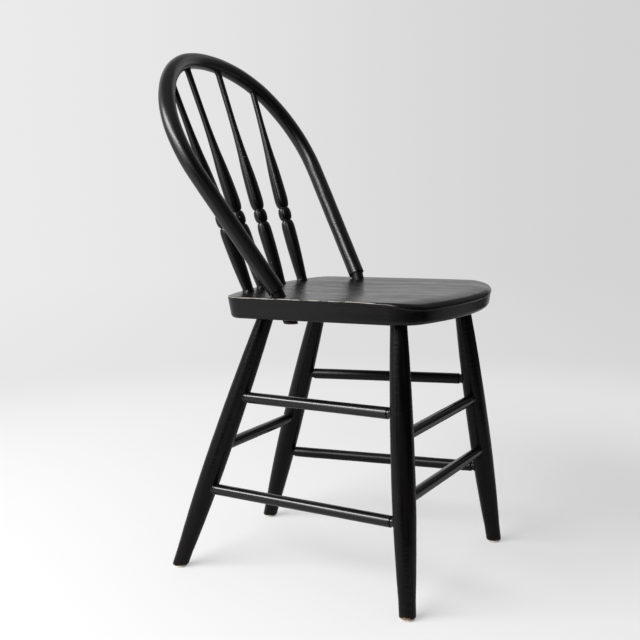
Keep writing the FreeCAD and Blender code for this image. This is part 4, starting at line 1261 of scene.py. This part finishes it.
floor = stage_surface("floor", [(0.0005, 0.0), (1.0, 0.0), (2.0, 0.0), (WALL_RADIUS, 0.0)])
wall = stage_surface("wall", [(WALL_RADIUS, 0.0), (WALL_RADIUS, WALL_HEIGHT)])
# Sheets that show only in reflections and paint dark reflections on the chair's gloss.
low_dark_reflection = stage_surface("low_dark_reflection", [(1.0, 0.0), (1.0, 0.8)], 161, 200)
tall_dark_reflection = stage_surface("tall_dark_reflection", [(1.0, 0.0), (1.0, 1.3), (1.3, 2.6)], 200, 290)
hung_graded_reflection = stage_surface("hung_graded_reflection", [(1.05, 0.17), (1.05, 1.3), (1.3, 2.6)], 290, 350)
reflection_sheets = [low_dark_reflection, tall_dark_reflection, hung_graded_reflection]
for surface in [wall] + reflection_sheets:
    surface.visible_diffuse = False
    surface.visible_shadow = False
for sheet in reflection_sheets:
    sheet.visible_camera = False
    sheet.visible_transmission = False
print("stage:", [surface.name for surface in [floor, wall] + reflection_sheets])

# %% [markdown]
# ### Tone of the floor and the wall
#
# The wall's glow is painted light: it is lightest on the lamp's side of the view, and far out beside
# the camera, where only the chair's edges mirror it, painted shade makes it darker again. The floor
# is lit for real near the chair, so that it holds the shadows. Further out it fades into the wall's
# own tone, for the camera and for mirrors, and so no line shows where the two meet. Both need that
# tone, so it is a group.

# %% Group: tone of the stage
# Painted light and shade in the wall's glow: lighter towards the lamp, darker beside the camera.
TONE_LEFT, TONE_RIGHT = (0.825, 0.825, 0.832, 1), (0.655, 0.655, 0.66, 1)
TONE_BESIDE = (0.56, 0.56, 0.565, 1)
TONE_REACH = 1.85
BESIDE_FROM, BESIDE_TO = -2.4, -3.9


def build_stage_tone():
    """Across = place . the view's level direction; Tone goes from left to right by it."""
    tree, given, out = new_group(
        "stage_tone", [("Place", "Vector", None)], [("Tone", "Color"), ("Across", "Float")])
    across = add_node(tree, "ShaderNodeVectorMath", {0: given["Place"], 1: tuple(level)},
                      operation="DOT_PRODUCT").outputs["Value"]
    seen = mix_colour(tree, range_node(tree, across, -TONE_REACH, TONE_REACH), TONE_LEFT, TONE_RIGHT)
    inside = range_node(tree, across, BESIDE_TO, BESIDE_FROM)
    feed(tree, out["Tone"], mix_colour(tree, inside, TONE_BESIDE, seen))
    feed(tree, out["Across"], across)
    return tree


stage_tone = build_stage_tone()

# %% Materials of the floor, the wall and the cloths
FLOOR_PALE = (0.465, 0.46, 0.455, 1)
# The camera's lift on the floor is painted light, stronger on the lamp's side than on the right.
LIFT_LEFT, LIFT_RIGHT, LIFT_REACH = 0.42, 0.35, 0.8
TONE_NEAR = (0.92, 0.92, 0.92, 1)
FADE_START, FADE_END, FADE_IN_MIRRORS = 0.75, 2.0, 0.5
REFLECTION_BLACK, REFLECTION_DARK = (0.012, 0.012, 0.012, 1), (0.05, 0.05, 0.05, 1)
REFLECTION_GREY = (0.22, 0.22, 0.22, 1)
GREY_FROM, GREY_TO = 0.35, 1.0


def floor_material():
    """Lit floor + a camera lift of painted light, stronger on the lamp's side, mixed by the fade with a glow
    in the wall's tone.
    """
    material, tree, shader = new_material("pale_floor")
    fill_shader(tree, shader, {"Base Color": FLOOR_PALE, "Roughness": 0.7, "Specular IOR Level": 0.0})
    place = own_place(tree)
    tone = use_group(tree, stage_tone, {"Place": place})
    path = add_node(tree, "ShaderNodeLightPath").outputs
    lift = add_node(tree, "ShaderNodeEmission", {
        "Color": range_node(tree, tone["Across"], -LIFT_REACH, LIFT_REACH, LIFT_LEFT, LIFT_RIGHT),
        "Strength": path["Is Camera Ray"]})
    lit = add_node(tree, "ShaderNodeAddShader", {0: shader.outputs[0], 1: lift.outputs[0]})
    radius = add_node(tree, "ShaderNodeVectorMath", {0: place}, operation="LENGTH").outputs["Value"]
    far_off = range_node(tree, radius, FADE_START, FADE_END)
    far = add_node(tree, "ShaderNodeEmission", {
        "Color": mix_colour(tree, far_off, TONE_NEAR, tone["Tone"])})
    mirrored = math_node(tree, "MAXIMUM", path["Is Glossy Ray"], path["Is Transmission Ray"])
    seen = math_node(tree, "MAXIMUM", path["Is Camera Ray"], times(tree, mirrored, FADE_IN_MIRRORS))
    both = add_node(tree, "ShaderNodeMixShader", {
        0: times(tree, far_off, seen), 1: lit.outputs[0], 2: far.outputs[0]})
    tree.links.new(both.outputs[0], tree.nodes["Material Output"].inputs["Surface"])
    return material


def glow_material(name, colour_of):
    """A surface that only glows, in the colour that colour_of builds in its tree."""
    material, tree, _ = new_material(name)
    glow = add_node(tree, "ShaderNodeEmission", {"Color": colour_of(tree), "Strength": 1.0})
    tree.links.new(glow.outputs[0], tree.nodes["Material Output"].inputs["Surface"])
    return material


def wall_colour(tree):
    return use_group(tree, stage_tone, {"Place": own_place(tree)})["Tone"]


def painted_reflection_grading(tree):
    """Painted reflection: dark low down and grey towards the top, so that the seat's rolled edge darkens by
    degrees.
    """
    height = add_node(tree, "ShaderNodeSeparateXYZ", {0: own_place(tree)}).outputs["Z"]
    return mix_colour(tree, range_node(tree, height, GREY_FROM, GREY_TO), REFLECTION_DARK, REFLECTION_GREY)


dress([floor], floor_material())
dress([wall], glow_material("pale_wall", wall_colour))
# Painted reflections: black and graded sheets that only mirrors see.
dress([low_dark_reflection, tall_dark_reflection], glow_material("painted_black_reflection", lambda tree: REFLECTION_BLACK))
dress([hung_graded_reflection], glow_material("painted_graded_reflection", painted_reflection_grading))

# %% [markdown]
# ### World and lamps
#
# The world fills in from all round and is dimmer in mirrors. One long soft lamp hangs high to the
# left of the camera, and a small card stands low beside it, to put a soft line on the turnings.

# %% World
WORLD_LEVEL, WORLD_IN_MIRRORS = 0.44, 0.2
WORLD_COLOUR = (0.97, 0.98, 1.0, 1)


def build_world():
    """One colour all round, at WORLD_LEVEL for light and at WORLD_IN_MIRRORS for reflections."""
    world = bpy.data.worlds.new("soft_room")
    bpy.context.scene.world = world
    world.use_nodes = True
    tree = world.node_tree
    in_mirrors = add_node(tree, "ShaderNodeLightPath").outputs["Is Glossy Ray"]
    level_seen = range_node(tree, in_mirrors, 0.0, 1.0, WORLD_LEVEL, WORLD_IN_MIRRORS)
    fill_shader(tree, tree.nodes["Background"], {"Color": WORLD_COLOUR, "Strength": level_seen})


build_world()

# %% Lamps
CHAIR_MIDDLE = Vector((0.0, 0.0, 0.45))
LAMP = dict(heading=150, above=33, distance=3.75, size=(4.2, 0.9), power=196.0,
            colour=(0.975, 0.985, 1.0))
CARD = dict(heading=158, above=16, distance=2.6, size=(1.8, 0.8), power=11.5, colour=(1.0, 1.0, 1.0))


def area_light(name, heading, above, distance, size, power, colour):
    """Faces the chair's middle from a heading and a height above level, both in degrees."""
    data = bpy.data.lights.new(name, "AREA")
    data.shape = "RECTANGLE"
    data.size, data.size_y = size
    data.energy = power
    data.color = colour
    lamp = bpy.data.objects.new(name, data)
    bpy.context.scene.collection.objects.link(lamp)
    heading, above = math.radians(heading), math.radians(above)
    towards = Vector((math.cos(heading) * math.cos(above), math.sin(heading) * math.cos(above),
                      math.sin(above)))
    place = CHAIR_MIDDLE + distance * towards
    lamp.location = place
    lamp.rotation_mode = "QUATERNION"
    lamp.rotation_quaternion = (CHAIR_MIDDLE - place).to_track_quat("-Z", "Y")
    lamp.visible_camera = False


area_light("long_soft_lamp", **LAMP)
area_light("low_card", **CARD)
bpy.context.scene.view_settings.view_transform = "Standard"
print("lamps:", [lamp.name for lamp in bpy.data.lights])
